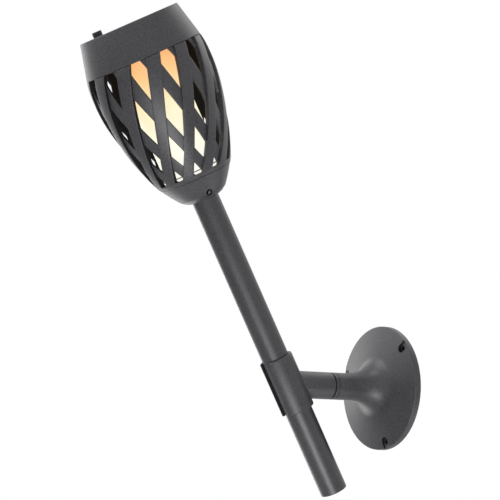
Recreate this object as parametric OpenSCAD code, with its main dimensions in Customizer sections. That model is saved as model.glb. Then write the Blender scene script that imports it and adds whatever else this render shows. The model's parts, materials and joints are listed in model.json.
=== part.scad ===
// Flame-effect torch sconce: a trumpet-shaped wall plate, a swivelling arm with a slotted clip,
// and a long torch that slides in the clip and carries a basket of crossed strips.
// Millimetres. +Z is up, the wall is the plane Y = 0 and the torch leans out towards -Y.

/* [Wall plate] */
// Diameter of the wall plate
plate_d = 122; // [112:1:132]
// Height of the straight rim against the wall
rim_h = 6.3; // [5.4:0.1:7.5]
// Thickness of the plate's moulded wall
plate_wall = 3; // [2.4:0.1:3.6]
// Distance from the wall to the end of the neck
neck_reach = 61.1; // [56:0.1:70]
// Length of the straight neck before it flares
neck_straight = 16; // [12:1:20]
// Diameter of the neck, the swivel ring and the arm
neck_d = 26.4; // [25:0.2:28]
// Distance from the plate's edge in to the centre of each wall screw
screw_inset = 6.5; // [5.5:0.1:9]
// Diameter of each wall screw hole
screw_hole_d = 5; // [4:0.1:5.6]
// Width of the pocket round each wall screw hole
pocket_w = 8.8; // [7.6:0.1:9.2]
// Depth of the pockets' floor below the plate's rim
pocket_sink = 0.9; // [0.3:0.1:1.5]
// Angle of the first wall screw, seen from the room
first_screw = 42; // [0:1:119]

/* [Arm and clip] */
// Distance from the wall to the torch's axis, along the arm
reach = 115; // [112:1:124]
// Angle between the torch and the wall
lean = 28; // [24:1:31]
// Thickness of the swivel ring between the neck and the arm
ring_t = 5.2; // [4:0.1:6]
// Width of the open groove between the swivel ring and the arm
groove_w = 1.4; // [0.8:0.1:2]
// Diameter of the swivel bolt
bolt_d = 8; // [6:0.5:9]
// Length of the clip along the torch
clip_len = 55.4; // [50:1:60]
// Thickness of the clip's wall
clip_wall = 3.1; // [2.6:0.1:3.6]
// Angle that the clip's slot takes out of the sleeve
slot_angle = 58; // [40:1:80]

/* [Pole] */
// Outside diameter of the pole
pole_d = 26.4; // [25:0.2:27]
// Thickness of the pole's wall
pole_wall = 1.5; // [1.2:0.1:2]
// Length of the pole below the middle of the clip
pole_below = 115; // [100:1:130]
// Length of the pole from the middle of the clip to the basket's cup
pole_above = 195.4; // [180:1:210]
// Length of the pole inside the cup
pole_insert = 18; // [14:1:19]

/* [Head] */
// Height of the head, from the cup's underside to the flat top
head_h = 179.6; // [176:0.2:186]
// Diameter across the flat top of the cap
cap_top_d = 99; // [96:1:103]
// Diameter at the lower edge of the cap
cap_edge_d = 116; // [114:0.5:117.5]
// How far the basket bulges beyond the cap's lower edge
bulge = 2; // [1.4:0.1:4]
// Diameter of the basket at its waist
waist_d = 106.8; // [104:0.2:109]
// Diameter of the basket where its strips end
foot_d = 76.6; // [75:0.2:80]
// Diameter of the cup at its seam with the basket
seam_d = 71; // [69:0.2:73]
// Diameter of the cup at its lower corner
cup_corner_d = 46; // [43:0.5:48]
// Height of the cap
cap_h = 34.6; // [33:0.2:38]
// Thickness of the moulded walls of the head
wall = 2.4; // [2:0.1:2.8]

/* [Basket] */
// Number of strips in each layer
strips = 12; // [10:1:14]
// Lean of the strips where the basket is widest
strip_lean = 17.5; // [14:0.5:20]
// Width of a strip at the cap
strip_w_top = 14.2; // [11:0.2:15]
// Width of a strip at the foot
strip_w_foot = 10.2; // [8:0.2:11]
// Angle at which an outer strip crosses an inner one
cross_angle = 18.9; // [0:0.1:30]
// Depth of the outer strips, from their face to the inside of the basket
strip_depth = 5.1; // [4.2:0.1:6]
// Distance of the inner strips' face behind the outer strips' face
strip_recess = 2.5; // [1.8:0.1:3]
// Thickness of the inner strips
inner_strip_t = 2.4; // [1.8:0.1:2.6]

/* [Lamp] */
// Outside diameter of the frosted tube
tube_d = 56; // [54:0.5:58]
// Thickness of the frosted tube
tube_wall = 1.5; // [1.2:0.1:2]
// Distance across the corners of the column that carries the lamp boards
column_d = 28; // [24:1:32]
// Rows of lamps on each board
lamp_rows = 8; // [6:1:10]
// Diameter of the solar panel
panel_d = 66; // [60:1:66]
// Diameter of the battery
battery_d = 18.4; // [14:0.2:18.6]
// Length of the battery
battery_len = 65; // [48:1:67]
// Diameter of the push button
button_d = 9.2; // [8.4:0.1:9.6]
// Height of the push button above the cap
button_h = 5; // [4:0.1:6]
// Travel of the push button
button_travel = 1.5; // [1:0.1:2]

/* [Hidden] */
$fn = 72;

// Clearances
run_gap = 0.05;      // running fit, on the radius
seat_gap = 0.1;      // between pieces that are pushed together
fillet = 1;          // small rounding on moulded edges

// Wall plate and swivel
plate_r = plate_d / 2;
neck_r = neck_d / 2;
flare_r = 22;                                   // radial size of the elliptic flare
flare_start = neck_reach - neck_straight;       // distance of the flare's start from the wall
face_y = rim_h + 5.9;                           // distance of the plate's face from the wall at the flare
flare_h = flare_start - face_y + 0.3;
flare_end = 82;                                 // degrees of the ellipse before the face runs straight
boss_r = pocket_w / 2 + 1.6;
screw_r = plate_r - screw_inset;                // radius of the circle through the wall screws
bolt_r = bolt_d / 2;
bolt_head_r = bolt_r + 2.6;
bolt_head_h = 5;
washer_t = 1.6;
neck_end_wall = 5;                              // thickness of the wall that closes the neck
arm_start = neck_reach + ring_t + 0.3;          // distance of the arm's near end from the wall
groove_depth = 2.4;                             // depth of the groove between ring and arm
step_w = 0.5;                                   // narrow groove between neck and ring
step_depth = 1;
edge = 0.25;                                    // small chamfer on the edges of the swivel
insert_r = bolt_r + 2.5;
insert_len = 12;

// Clip and pole
pole_r = pole_d / 2;
clip_in = pole_r + run_gap;
clip_r = clip_in + clip_wall;
clip_screw_r = 1.6;
clip_screw_head_r = 3;
clip_screw_at = [-16, -3];                      // places of the clip's screws along the torch

// Head, measured down from the flat top (a drop)
head_top = pole_above + head_h;
head_d = cap_edge_d + 2 * bulge;                // largest diameter of the basket
cup_drop = head_h;
seam_drop = cup_drop - 22.8;                    // top edge of the cup
foot_drop = seam_drop - 4.3;                    // lower end of the strips
waist_drop = mix(cap_h, foot_drop, 0.605);
belly_drop = mix(cap_h, foot_drop, 0.2);
cross_drop = mix(cap_h, foot_drop, 0.487);      // where the strips' middles cross
taper_drop = mix(cap_h, foot_drop, 0.71);       // below it a strip keeps its width
lap_h = 6.6;                                    // height of the cap's lip round the basket's ring
lip_t = wall / 2;
ring_drop = cap_h - lap_h;                      // top of the basket's ring
flange_t = 2.5;
flange_r = seam_d / 2 - 6;
skirt_h = 3;
strip_c = head_d / 2 * sin(strip_lean);
steps = 16;                                     // stations along a strip

// Cap
skin = wall;
panel_r = panel_d / 2;
panel_t = 2.1;
cell_t = 0.4;
cell_pitch = (panel_d - 3) / 7;                 // distance from one cell to the next
cell_w = cell_pitch - 0.8;
seat_drop = panel_t + cell_t + 0.3;             // floor of the panel's recess
button_r = button_d / 2;
button_at = 40.5;                               // distance of the button from the head's axis
button_turn = -80.1;                            // its angle, from +X
flange_grow = 0.9;
plate_t = 2.8;
plate_drop = ring_drop - plate_t;               // top of the cap's inner plate
post_r = 3.8;
post_at = 46;
post_turn = [90, 210, 330];
screw_shank_r = 1.5;
screw_head_r = 2.8;
screw_head_h = 1.9;
ledge_r = 41.5;
ledge_t = 2.2;
battery_r = battery_d / 2;
battery_y = 15;
battery_drop = (seat_drop + 1.6 + plate_drop) / 2;
board_t = 1.6;
board_size = [46, 28];
board_y = -29.5;
board_drop = plate_drop - 4 - board_t;

// Lamp
tube_r = tube_d / 2;
tube_in = tube_r - tube_wall;
base_t = 4;
base_top = seam_drop - flange_t - base_t - seat_gap;
socket_h = 4.5;
socket_wall = 1.8;
column_r = column_d / 2;
column_wall = 2;
column_top = ring_drop + 2;
flat_r = column_r * cos(30);
lamp_board_w = column_r - 2.5;
lamp_board_t = 1;
lamp_top = ring_drop + 12;
lamp_low = base_top - 10;
lamp_size = [3.5, 2.8, 1.2];
base_screw_at = 21.5;
base_screw_len = 11;

// Small helpers
function mix(a, b, t) = a + (b - a) * t;
function clamp(x) = min(1, max(0, x));
function total(v) = [for (x = v) 1] * v;
function hermite(p, q, mp, mq, x) =
    let (h = q[0] - p[0], t = (x - p[0]) / h)
    (2 * t * t * t - 3 * t * t + 1) * p[1] + (t * t * t - 2 * t * t + t) * h * mp
    + (3 * t * t - 2 * t * t * t) * q[1] + (t * t * t - t * t) * h * mq;

// Outline of the head: radius of the cap and the basket at a drop
cap_slope = (cap_edge_d - cap_top_d) / 2 / cap_h;
waist_slope = (foot_d - head_d) / 2 / (foot_drop - belly_drop);
foot_slope = (foot_d - waist_d) / (foot_drop - waist_drop) - waist_slope;
function head_r(d) =
    d <= cap_h ? cap_top_d / 2 + cap_slope * d
    : d <= belly_drop ? hermite([cap_h, cap_edge_d / 2], [belly_drop, head_d / 2], cap_slope, 0, d)
    : d <= waist_drop ? hermite([belly_drop, head_d / 2], [waist_drop, waist_d / 2], 0, waist_slope, d)
    : d <= foot_drop ? hermite([waist_drop, waist_d / 2], [foot_drop, foot_d / 2], waist_slope, foot_slope, d)
    : mix(foot_d / 2, seam_d / 2 + 0.4, (d - foot_drop) / (seam_drop - foot_drop));
function head_slope(d) = head_r(d + 0.5) - head_r(d - 0.5);

// Angle that a strip has turned through between the crossing and a drop. The strip follows
// the shortest path over the basket, so its lean grows as the basket narrows.
function strip_turn(d) =
    let (n = 10, h = (d - cross_drop) / n)
    180 / PI * total([for (i = [0:n - 1])
        let (x = cross_drop + (i + 0.5) * h, r = head_r(x), m = head_slope(x))
        strip_c * sqrt(1 + m * m) / (r * sqrt(r * r - strip_c * strip_c)) * h]);
function strip_w(d) = mix(strip_w_foot, strip_w_top, clamp((taper_drop - d) / (taper_drop - cap_h)));
function half_strip(d) =
    let (r = head_r(d))
    180 / PI * strip_w(d) / 2 / sqrt(r * r - strip_c * strip_c);

module in_torch() translate([0, -reach, 0]) rotate([lean, 0, 0]) children();
module in_head() in_torch() translate([0, 0, head_top]) children();
module down(d) translate([0, 0, -d]) children();
// Turns a shape drawn along +Z to run from the wall into the room
module off_wall(y = 0) translate([0, -y, 0]) rotate([90, 0, 0]) children();
module screw_ring(at) for (a = post_turn) rotate(a) translate([at, 0, 0]) children();
module hexagon(r, h) rotate(30) cylinder(r = r, h = h, $fn = 6);
module tube(r_out, r_in, h) difference() {
    cylinder(r = r_out, h = h);
    translate([0, 0, -1]) cylinder(r = r_in, h = h + 2);
}

// ---- Wall plate and swivel ----

// Half outline of the trumpet, as [radius, distance from the wall]
flare = [for (a = [0:flare_end / 12:flare_end])
    [neck_r + flare_r * (1 - cos(a)), flare_start - flare_h * sin(a)]];
rim_edge = [for (a = [20:14:90]) [plate_r - fillet + fillet * sin(a), rim_h - fillet + fillet * cos(a)]];

module plate_outline(inset = 0) polygon(concat(
    [[0, inset == 0 ? 0 : -1], [0, neck_reach - inset * neck_end_wall]],
    [[neck_r - inset * plate_wall - (1 - inset) * edge, neck_reach - inset * neck_end_wall],
     [neck_r - inset * plate_wall, neck_reach - inset * neck_end_wall - (1 - inset) * edge]],
    [for (p = flare) [p[0] - inset * plate_wall * 0.9, p[1] - inset * plate_wall]],
    inset == 0 ? rim_edge : [[plate_r - plate_wall, rim_h - plate_wall]],
    [[plate_r - inset * plate_wall, inset == 0 ? 0 : -1]]));

module plate_screws() for (i = [0:2])
    rotate(first_screw + 120 * i) translate([screw_r, 0, 0]) children();

module wall_plate() color("dimgray") off_wall() difference() {
    union() {
        difference() {
            rotate_extrude() plate_outline();
            rotate_extrude() plate_outline(1);
        }
        intersection() {
            plate_screws() cylinder(r = boss_r, h = rim_h + 4);
            rotate_extrude() plate_outline();
        }
    }
    plate_screws() translate([0, 0, -1]) cylinder(d = screw_hole_d, h = rim_h + 8);
    plate_screws() translate([0, 0, rim_h - pocket_sink]) {
        cylinder(d = pocket_w, h = 10);
        translate([0, -pocket_w / 2, 0]) cube([plate_r, pocket_w, 10]);
    }
    translate([0, 0, flare_start]) cylinder(r = bolt_r + run_gap, h = neck_reach);
}

module swivel_ring() color("gray") off_wall(neck_reach) rotate_extrude() polygon([
    [bolt_r + seat_gap, 0], [neck_r - step_depth, 0], [neck_r - step_depth, step_w],
    [neck_r - edge, step_w], [neck_r, step_w + edge], [neck_r, ring_t - groove_w - edge],
    [neck_r - edge, ring_t - groove_w], [neck_r - groove_depth, ring_t - groove_w],
    [neck_r - groove_depth, ring_t], [bolt_r + seat_gap, ring_t]]);

// ---- Arm and clip ----

module arm_stub() color("dimgray") difference() {
    off_wall(arm_start) rotate_extrude() polygon([[0, 0], [neck_r - edge, 0], [neck_r, edge],
        [neck_r, reach - arm_start], [0, reach - arm_start]]);
    in_torch() cylinder(r = clip_r, h = 4 * clip_len, center = true);
    off_wall(arm_start - 1) cylinder(r = insert_r, h = insert_len + 1);
    clip_screw_places() translate([0, 0, clip_r - 2]) cylinder(r = clip_screw_r, h = 11);
}

module swivel_insert() color("goldenrod") off_wall(arm_start) tube(insert_r, bolt_r, insert_len);

module swivel_bolt() color("silver") off_wall() {
    translate([0, 0, neck_reach - neck_end_wall - washer_t - bolt_head_h])
        hexagon(bolt_head_r, bolt_head_h);
    translate([0, 0, neck_reach - neck_end_wall - washer_t - 1])
        cylinder(r = bolt_r, h = arm_start + insert_len - neck_reach + neck_end_wall + washer_t + 1);
}

module spring_washer() color("silver") off_wall(neck_reach - neck_end_wall - washer_t)
    tube(bolt_head_r + 0.6, bolt_r + seat_gap, washer_t);

// Turns a shape drawn along +Z to point from the torch's axis to the wall
module clip_screw_places() in_torch() for (s = clip_screw_at)
    translate([0, 0, s]) rotate([-90, 0, 0]) children();

module pole_clip() color("dimgray") in_torch() difference() {
    down(clip_len / 2) rotate_extrude() polygon([[clip_in, 0.6], [clip_in + 0.6, 0],
        [clip_r - fillet, 0], [clip_r - 0.3, 0.3], [clip_r, fillet], [clip_r, clip_len - fillet],
        [clip_r - 0.3, clip_len - 0.3], [clip_r - fillet, clip_len], [clip_in + 0.6, clip_len],
        [clip_in, clip_len - 0.6]]);
    down(clip_len) linear_extrude(2 * clip_len) polygon([[0, 0],
        2 * clip_r * [sin(slot_angle / 2), -cos(slot_angle / 2)],
        2 * clip_r * [-sin(slot_angle / 2), -cos(slot_angle / 2)]]);
    for (s = clip_screw_at) translate([0, 0, s]) rotate([-90, 0, 0]) {
        cylinder(r = clip_screw_r + seat_gap, h = 3 * clip_r);
        cylinder(r = clip_screw_head_r, h = clip_in + 1.6);
    }
}

module clip_screws() color("silver") clip_screw_places() {
    translate([0, 0, clip_in + 0.4]) cylinder(r = clip_screw_head_r - seat_gap, h = 1.2);
    translate([0, 0, clip_in + 1]) cylinder(r = clip_screw_r, h = clip_wall + 7);
}

// ---- Pole ----

module pole_tube() color("dimgray") in_torch() down(pole_below)
    rotate_extrude() polygon([[pole_r - pole_wall, 0], [pole_r - 0.8, 0], [pole_r - 0.25, 0.25],
        [pole_r, 0.8], [pole_r, pole_below + pole_above + pole_insert],
        [pole_r - pole_wall, pole_below + pole_above + pole_insert]]);

module pole_end_plug() color("#202020") in_torch() down(pole_below) {
    translate([0, 0, 0.6]) cylinder(r = pole_r - pole_wall - seat_gap, h = 2.4);
    translate([0, 0, 2]) tube(pole_r - pole_wall - seat_gap, pole_r - pole_wall - 2, 12);
}

// ---- Cup ----

cup_low = cup_drop - 4.8;                        // drop of the cup's lower corner
function cup_r(d) = hermite([seam_drop, seam_d / 2], [cup_low, cup_corner_d / 2], -0.6, -0.8, d);
cup_in = pole_r + seat_gap;
skirt_r = cup_r(seam_drop + skirt_h) - wall - 0.5;
socket_top = cup_drop - pole_insert - 2;
function cup_points(grow) = [for (i = [0:8]) let (d = mix(seam_drop, cup_low, i / 8)) [cup_r(d) - grow, -d]];
function cup_bottom() = [[cup_corner_d / 2 - 1.5, -(cup_low + 1.4)], [cup_corner_d / 2 - 4.4, -(cup_low + 3.1)],
    [cup_in + 2, -(cup_drop - 0.3)], [cup_in, -cup_drop]];

lock_drop = cup_drop - 5.9;                      // the lock screw's place
lock_turn = -17.4;
lock_r = 1.4;
lock_well_r = 3.2;                               // open well round the screw
lock_end = cup_r(lock_drop) - 0.4;               // distance of the screw's end from the axis

module lock_place() down(lock_drop) rotate(lock_turn) rotate([0, 90, 0]) children();

module base_cup() color("dimgray") in_head() difference() {
    union() {
        rotate_extrude() polygon(concat([[seam_d / 2 - wall, -seam_drop]], cup_points(0), cup_bottom(),
            [[cup_in, -(cup_low - 1)], [cup_corner_d / 2 - wall - 1, -(cup_low - 1)]],
            [for (i = [7:-1:0]) let (d = mix(seam_drop, cup_low, i / 8)) [cup_r(d) - wall - 0.3, -d]]));
        down(cup_low) tube(cup_in + wall, cup_in, cup_low - socket_top + 1);
        down(socket_top) cylinder(r = cup_in + wall, h = 2);
        intersection() {
            screw_ring(base_screw_at) down(cup_low) cylinder(r = 3.4, h = cup_low - base_top - base_t - seat_gap);
            rotate_extrude() polygon(concat([[0, -base_top - base_t], [flange_r - 0.5, -base_top - base_t]],
                [for (p = cup_points(wall / 2)) [min(p[0], flange_r - 0.5), p[1]]], [[0, -cup_low]]));
        }
        intersection() {
            lock_place() cylinder(r = lock_well_r + 1.6, h = cup_in + 9);
            rotate_extrude() polygon(concat([[0, -base_top - base_t], [flange_r - 0.5, -base_top - base_t]],
                [for (p = cup_points(wall / 2)) [min(p[0], flange_r - 0.5), p[1]]],
                [for (p = cup_bottom()) [p[0] - 0.3, p[1] + 0.8]], [[0, 0.8 - cup_drop]]));
        }
    }
    down(cup_drop + 1) cylinder(r = cup_in, h = cup_drop + 1 - socket_top);
    lock_place() cylinder(r = lock_r, h = 3 * cup_in);
    lock_place() translate([0, 0, cup_in + 3]) cylinder(r = lock_well_r, h = 20);
    screw_ring(base_screw_at) down(base_top + base_screw_len + 3) cylinder(r = 1.2, h = base_screw_len + 3);
}

module pole_lock_screw() color("black") in_head() difference() {
    lock_place() translate([0, 0, pole_r + 0.05]) cylinder(r = lock_r - seat_gap, h = lock_end - pole_r);
    lock_place() translate([-lock_r, -0.3, lock_end - 0.9]) cube([2 * lock_r, 0.6, 2]);
}

module lamp_base() color("whitesmoke") in_head() difference() {
    union() {
        down(base_top + base_t) cylinder(r = base_r, h = base_t);
        down(base_top + 0.5) tube(tube_in - seat_gap, tube_in - seat_gap - socket_wall, socket_h + 0.5);
    }
    screw_ring(base_screw_at) down(base_top + base_t + 1) cylinder(r = 1.7, h = base_t + 2);
}

module lamp_base_screws() color("silver") in_head() screw_ring(base_screw_at) {
    down(base_top) cylinder(r = 2.3, h = 1.6);
    down(base_top + base_screw_len) cylinder(r = 1.1, h = base_screw_len + 0.2);
}

// ---- Basket of crossed strips ----

basket_drops = [for (i = [0:steps]) mix(cap_h + 4, foot_drop, i / steps)];
ring_r = lip_t + seat_gap;                      // how far the ring lies inside the head's outline
base_r = head_r(seam_drop - flange_t) - strip_depth - 0.4;

// The whole basket turned without its windows: the ring in the cap with the ledge that the cap's
// screws pull up, the body, and the foot that stands on the cup with a skirt in the cup's mouth
module basket_blank() rotate_extrude() polygon(concat(
    [[ledge_r, -ring_drop], [head_r(ring_drop) - ring_r, -ring_drop], [head_r(cap_h) - ring_r, -cap_h],
     [head_r(cap_h + 0.6), -cap_h - 0.6]],
    [for (d = basket_drops) [head_r(d), -d]],
    [[head_r(seam_drop - 0.6), -seam_drop + 0.6], [seam_d / 2 - 0.9, -seam_drop], [skirt_r, -seam_drop],
     [skirt_r, -seam_drop - skirt_h], [flange_r, -seam_drop - skirt_h], [flange_r, -seam_drop + flange_t],
     [head_r(seam_drop - flange_t) - strip_depth, -seam_drop + flange_t]],
    [for (i = [steps:-1:0]) let (d = basket_drops[i]) [head_r(d) - strip_depth, -d]],
    [[head_r(ring_drop + ledge_t) - strip_depth, -ring_drop - ledge_t], [ledge_r, -ring_drop - ledge_t]]));

// The thinner wall that the inner strips are cut from; both its ends lie inside the blank
module inner_wall() rotate_extrude() polygon(concat(
    [for (d = concat([cap_h - 2], basket_drops, [foot_drop + 1])) [head_r(d) - strip_recess, -d]],
    [for (d = concat([foot_drop + 1], [for (i = [steps:-1:0]) basket_drops[i]], [cap_h - 2]))
        [head_r(d) - strip_recess - inner_strip_t, -d]]));

// A window between two neighbouring strips that lean the same way
module window(way) {
    drops = [for (i = [0:steps]) mix(cap_h - 0.4, foot_drop, i / steps)];
    corners = [for (d = drops) for (side = [0, 1]) for (depth = [4, -12])
        let (a = way * strip_turn(d) + (side == 0 ? half_strip(d) : 360 / strips - half_strip(d)),
            r = head_r(d) + depth)
        [r * cos(a), r * sin(a), -d]];
    // Corner numbers at each station: 0 outer left, 1 inner left, 2 outer right, 3 inner right
    loop = [0, 2, 3, 1];
    sides = [for (i = [0:steps - 1]) for (k = [0:3])
        let (a = 4 * i + loop[k], b = 4 * i + loop[(k + 1) % 4])
        each [[a, b, b + 4], [a, b + 4, a + 4]]];
    ends = [[0, 3, 2], [0, 1, 3], [4 * steps, 4 * steps + 2, 4 * steps + 3],
        [4 * steps, 4 * steps + 3, 4 * steps + 1]];
    polyhedron(corners, concat(sides, ends));
}

module windows(way) for (i = [0:strips - 1])
    rotate(cross_angle + i * 360 / strips) window(way);

module strip_basket() color("dimgray") in_head() {
    difference() {
        basket_blank();
        windows(-1);
        screw_ring(post_at) down(ring_drop + 5) cylinder(r = screw_shank_r + 0.2, h = 10);
    }
    difference() {
        inner_wall();
        windows(1);
    }
}

// ---- Lamp inside the basket ----

module diffuser_tube() color("moccasin") in_head() down(base_top - seat_gap)
    tube(tube_r, tube_in, base_top - ring_drop - 2 * seat_gap);

module lamp_column() color("white") in_head() difference() {
    union() {
        down(base_top - seat_gap) hexagon(column_r, base_top - seat_gap - ring_drop);
        down(column_top) cylinder(r = column_r + 5, h = 2 - seat_gap);
    }
    down(base_top + 1) hexagon(column_r - column_wall, base_top - ring_drop + 2);
}

module column_faces() for (i = [0:5]) rotate(60 * i) translate([flat_r, 0, 0]) children();

module lamp_boards() color("ivory") in_head() column_faces()
    translate([0, -lamp_board_w / 2, -lamp_low - 4])
        cube([lamp_board_t, lamp_board_w, lamp_low - lamp_top + 8]);

module lamps() color("gold") in_head() column_faces() for (i = [0:lamp_rows - 1])
    translate([lamp_board_t, -lamp_size[0] / 2, -mix(lamp_top, lamp_low, i / (lamp_rows - 1))])
        cube([lamp_size[2], lamp_size[0], lamp_size[1]]);

// ---- Cap with the battery, the board and the solar panel ----

module button_place() rotate(button_turn) translate([button_at, 0, 0]) children();

module top_cap() color("dimgray") in_head() difference() {
    union() {
        difference() {
            rotate_extrude() polygon(concat([[0, 0]],
                [for (a = [0:18:90]) [cap_top_d / 2 - fillet + fillet * sin(a), -fillet + fillet * cos(a)]],
                [[head_r(cap_h), -cap_h], [head_r(cap_h) - lip_t, -cap_h],
                 [head_r(ring_drop) - lip_t, -ring_drop], [head_r(ring_drop) - wall, -ring_drop],
                 [head_r(skin) - wall, -skin], [0, -skin]]));
            button_place() down(skin + 1) cylinder(r = button_r + run_gap, h = skin + 2);
        }
        // Tray under the solar panel
        down(seat_drop + 1.6) cylinder(r = panel_r + 1.4, h = 1.6 + seat_drop - skin + 0.5);
        screw_ring(post_at) down(plate_drop - seat_gap) cylinder(r = post_r, h = plate_drop - skin + 0.5);
    }
    down(seat_drop) cylinder(r = panel_r + seat_gap, h = seat_drop + 1);
    down(plate_drop + 1) screw_ring(post_at) cylinder(r = screw_shank_r - 0.3, h = 14);
    translate([0, battery_y - 4, -seat_drop - 3]) cylinder(r = 2.5, h = 6);
}

module solar_cells() color("midnightblue") in_head() intersection() {
    down(seat_drop) cylinder(r = panel_r - 3, h = cell_t);
    for (i = [-3:3]) translate([-panel_r, i * cell_pitch - cell_w / 2, -seat_drop])
        cube([2 * panel_r, cell_w, cell_t]);
}

module solar_window() color("lightsteelblue") in_head() difference() {
    down(seat_drop) cylinder(r = panel_r, h = seat_drop - 0.3);
    down(seat_drop + 1) cylinder(r = panel_r - 2.5, h = cell_t + 1 + seat_gap);
}

module push_button() color("black") in_head() button_place() {
    down(skin + 0.4) rotate_extrude() polygon([[0, 0], [button_r, 0], [button_r, skin + 0.4 + button_h - fillet],
        [button_r - 0.3, skin + 0.4 + button_h - 0.3], [button_r - fillet, skin + 0.4 + button_h],
        [0, skin + 0.4 + button_h]]);
    down(skin + seat_gap + 1.2) cylinder(r = button_r + flange_grow, h = 1.2);
    down(board_drop - 4.5) cylinder(r = 1.9, h = board_drop - 4.5 - skin);
}

module switch_body() color("black") in_head() button_place() rotate(-button_turn) difference() {
    down(board_drop) translate([-4, -4, 0]) cube([8, 8, 6.5]);
    down(board_drop - 4.5 + button_travel + 0.4) cylinder(r = 1.9 + 0.35, h = 12);
}

module control_board() color("darkgreen") in_head() down(board_drop + board_t)
    translate([-board_size[0] / 2, board_y - board_size[1] / 2, 0]) cube([board_size[0], board_size[1], board_t]);

module board_parts() color("#303030") in_head() down(board_drop) {
    translate([-18, board_y - 4, 0]) cube([9, 7, 1.8]);
    translate([-5, board_y + 2, 0]) cube([6, 5, 1.6]);
    translate([14, board_y + 5, 0]) cylinder(r = 4, h = 5);
    translate([-14, board_y + 8, 0]) cylinder(r = 2.6, h = 7);
}

module cap_plate() color("#505050") in_head() difference() {
    union() {
        down(ring_drop) cylinder(r = head_r(plate_drop) - wall - 0.3, h = plate_t);
        for (x = [-1, 1]) for (y = [-1, 1])
            translate([x * (board_size[0] / 2 - 4), board_y + y * (board_size[1] / 2 - 4), -plate_drop])
                cylinder(r = 2.4, h = plate_drop - board_drop - board_t);
    }
    screw_ring(post_at) down(ring_drop + 1) cylinder(r = screw_shank_r + 0.2, h = plate_t + 2);
    down(ring_drop + 1) cylinder(r = 5, h = plate_t + 2);
}

module cap_screws() color("silver") in_head() screw_ring(post_at) {
    down(ring_drop + ledge_t + screw_head_h) cylinder(r = screw_head_r, h = screw_head_h);
    down(ring_drop + ledge_t + 1) cylinder(r = screw_shank_r - 0.35, h = plate_t + ledge_t + 8);
}

module battery() color("steelblue") in_head() translate([0, battery_y, -battery_drop]) rotate([0, 90, 0]) {
    cylinder(r = battery_r, h = battery_len, center = true);
    cylinder(r = 3, h = battery_len + 2.4, center = true);
}

module battery_cradle() color("#282828") in_head() difference() {
    translate([-battery_len / 2 - 4.5, battery_y - battery_r - 1.6, -plate_drop])
        cube([battery_len + 9, 2 * battery_r + 3.2, plate_drop - battery_drop + 2]);
    translate([0, battery_y, -battery_drop]) rotate([0, 90, 0])
        cylinder(r = battery_r + 0.2, h = battery_len + 5.2, center = true);
}

module battery_contacts() color("silver") in_head() for (x = [-1, 1])
    translate([x * (battery_len / 2 + 1.95) - 0.6, battery_y - 4, -battery_drop - 4]) cube([1.2, 8, 8]);

wall_plate();
swivel_ring();
arm_stub();
swivel_insert();
swivel_bolt();
spring_washer();
pole_clip();
clip_screws();
pole_tube();
pole_end_plug();
base_cup();
pole_lock_screw();
lamp_base();
lamp_base_screws();
strip_basket();
diffuser_tube();
lamp_column();
lamp_boards();
lamps();
cap_plate();
cap_screws();
top_cap();
solar_cells();
solar_window();
battery();
battery_cradle();
battery_contacts();
control_board();
board_parts();
switch_body();
push_button();
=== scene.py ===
"""Torch sconce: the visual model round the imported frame.

A wall plate, a swivelling arm with a slotted clip, and a torch with a basket of crossed strips
round a glowing tube. Sizes are in millimetres and repeat the part's own named values; each
finished mesh is baked into the frame in metres.
"""

from __future__ import annotations

import json
import logging
import math
from dataclasses import dataclass, field
from enum import Enum
from typing import Callable, Optional, Sequence, Union

import bmesh
import bpy
from mathutils import Matrix, Vector

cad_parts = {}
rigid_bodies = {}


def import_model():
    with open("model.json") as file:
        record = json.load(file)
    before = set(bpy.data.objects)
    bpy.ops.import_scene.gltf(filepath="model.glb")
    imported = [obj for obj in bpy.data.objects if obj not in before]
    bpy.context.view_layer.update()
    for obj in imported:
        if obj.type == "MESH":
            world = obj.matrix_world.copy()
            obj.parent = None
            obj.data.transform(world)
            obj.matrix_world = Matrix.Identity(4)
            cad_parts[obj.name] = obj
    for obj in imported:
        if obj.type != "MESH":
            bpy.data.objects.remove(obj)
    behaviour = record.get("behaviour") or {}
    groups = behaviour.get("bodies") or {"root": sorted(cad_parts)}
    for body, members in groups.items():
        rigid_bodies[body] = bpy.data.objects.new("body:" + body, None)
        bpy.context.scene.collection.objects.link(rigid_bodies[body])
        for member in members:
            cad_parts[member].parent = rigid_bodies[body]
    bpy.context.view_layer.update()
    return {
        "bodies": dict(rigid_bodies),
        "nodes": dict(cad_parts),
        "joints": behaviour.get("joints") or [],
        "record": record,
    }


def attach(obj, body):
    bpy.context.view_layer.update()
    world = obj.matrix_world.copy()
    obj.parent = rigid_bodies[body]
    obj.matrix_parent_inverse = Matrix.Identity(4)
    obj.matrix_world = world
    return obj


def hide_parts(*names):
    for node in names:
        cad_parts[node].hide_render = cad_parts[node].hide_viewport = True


LOG = logging.getLogger("torch_sconce")

MM = 0.001
ROUND_STEPS = 128
CUTTER_STEPS = 64
SMOOTH_ANGLE = math.radians(32)
PAST = 10.0  # how far a cutter reaches past what it cuts, in millimetres
Point = tuple[float, float]
Row = tuple[float, float, float]


class Body(Enum):
    """The moving bodies that pieces ride on."""

    BRACKET = "bracket"
    ARM = "arm"
    TORCH = "torch"
    BUTTON = "button"


# ---------------------------------------------------------------------------
# Frames and shared sizes
# ---------------------------------------------------------------------------


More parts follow.
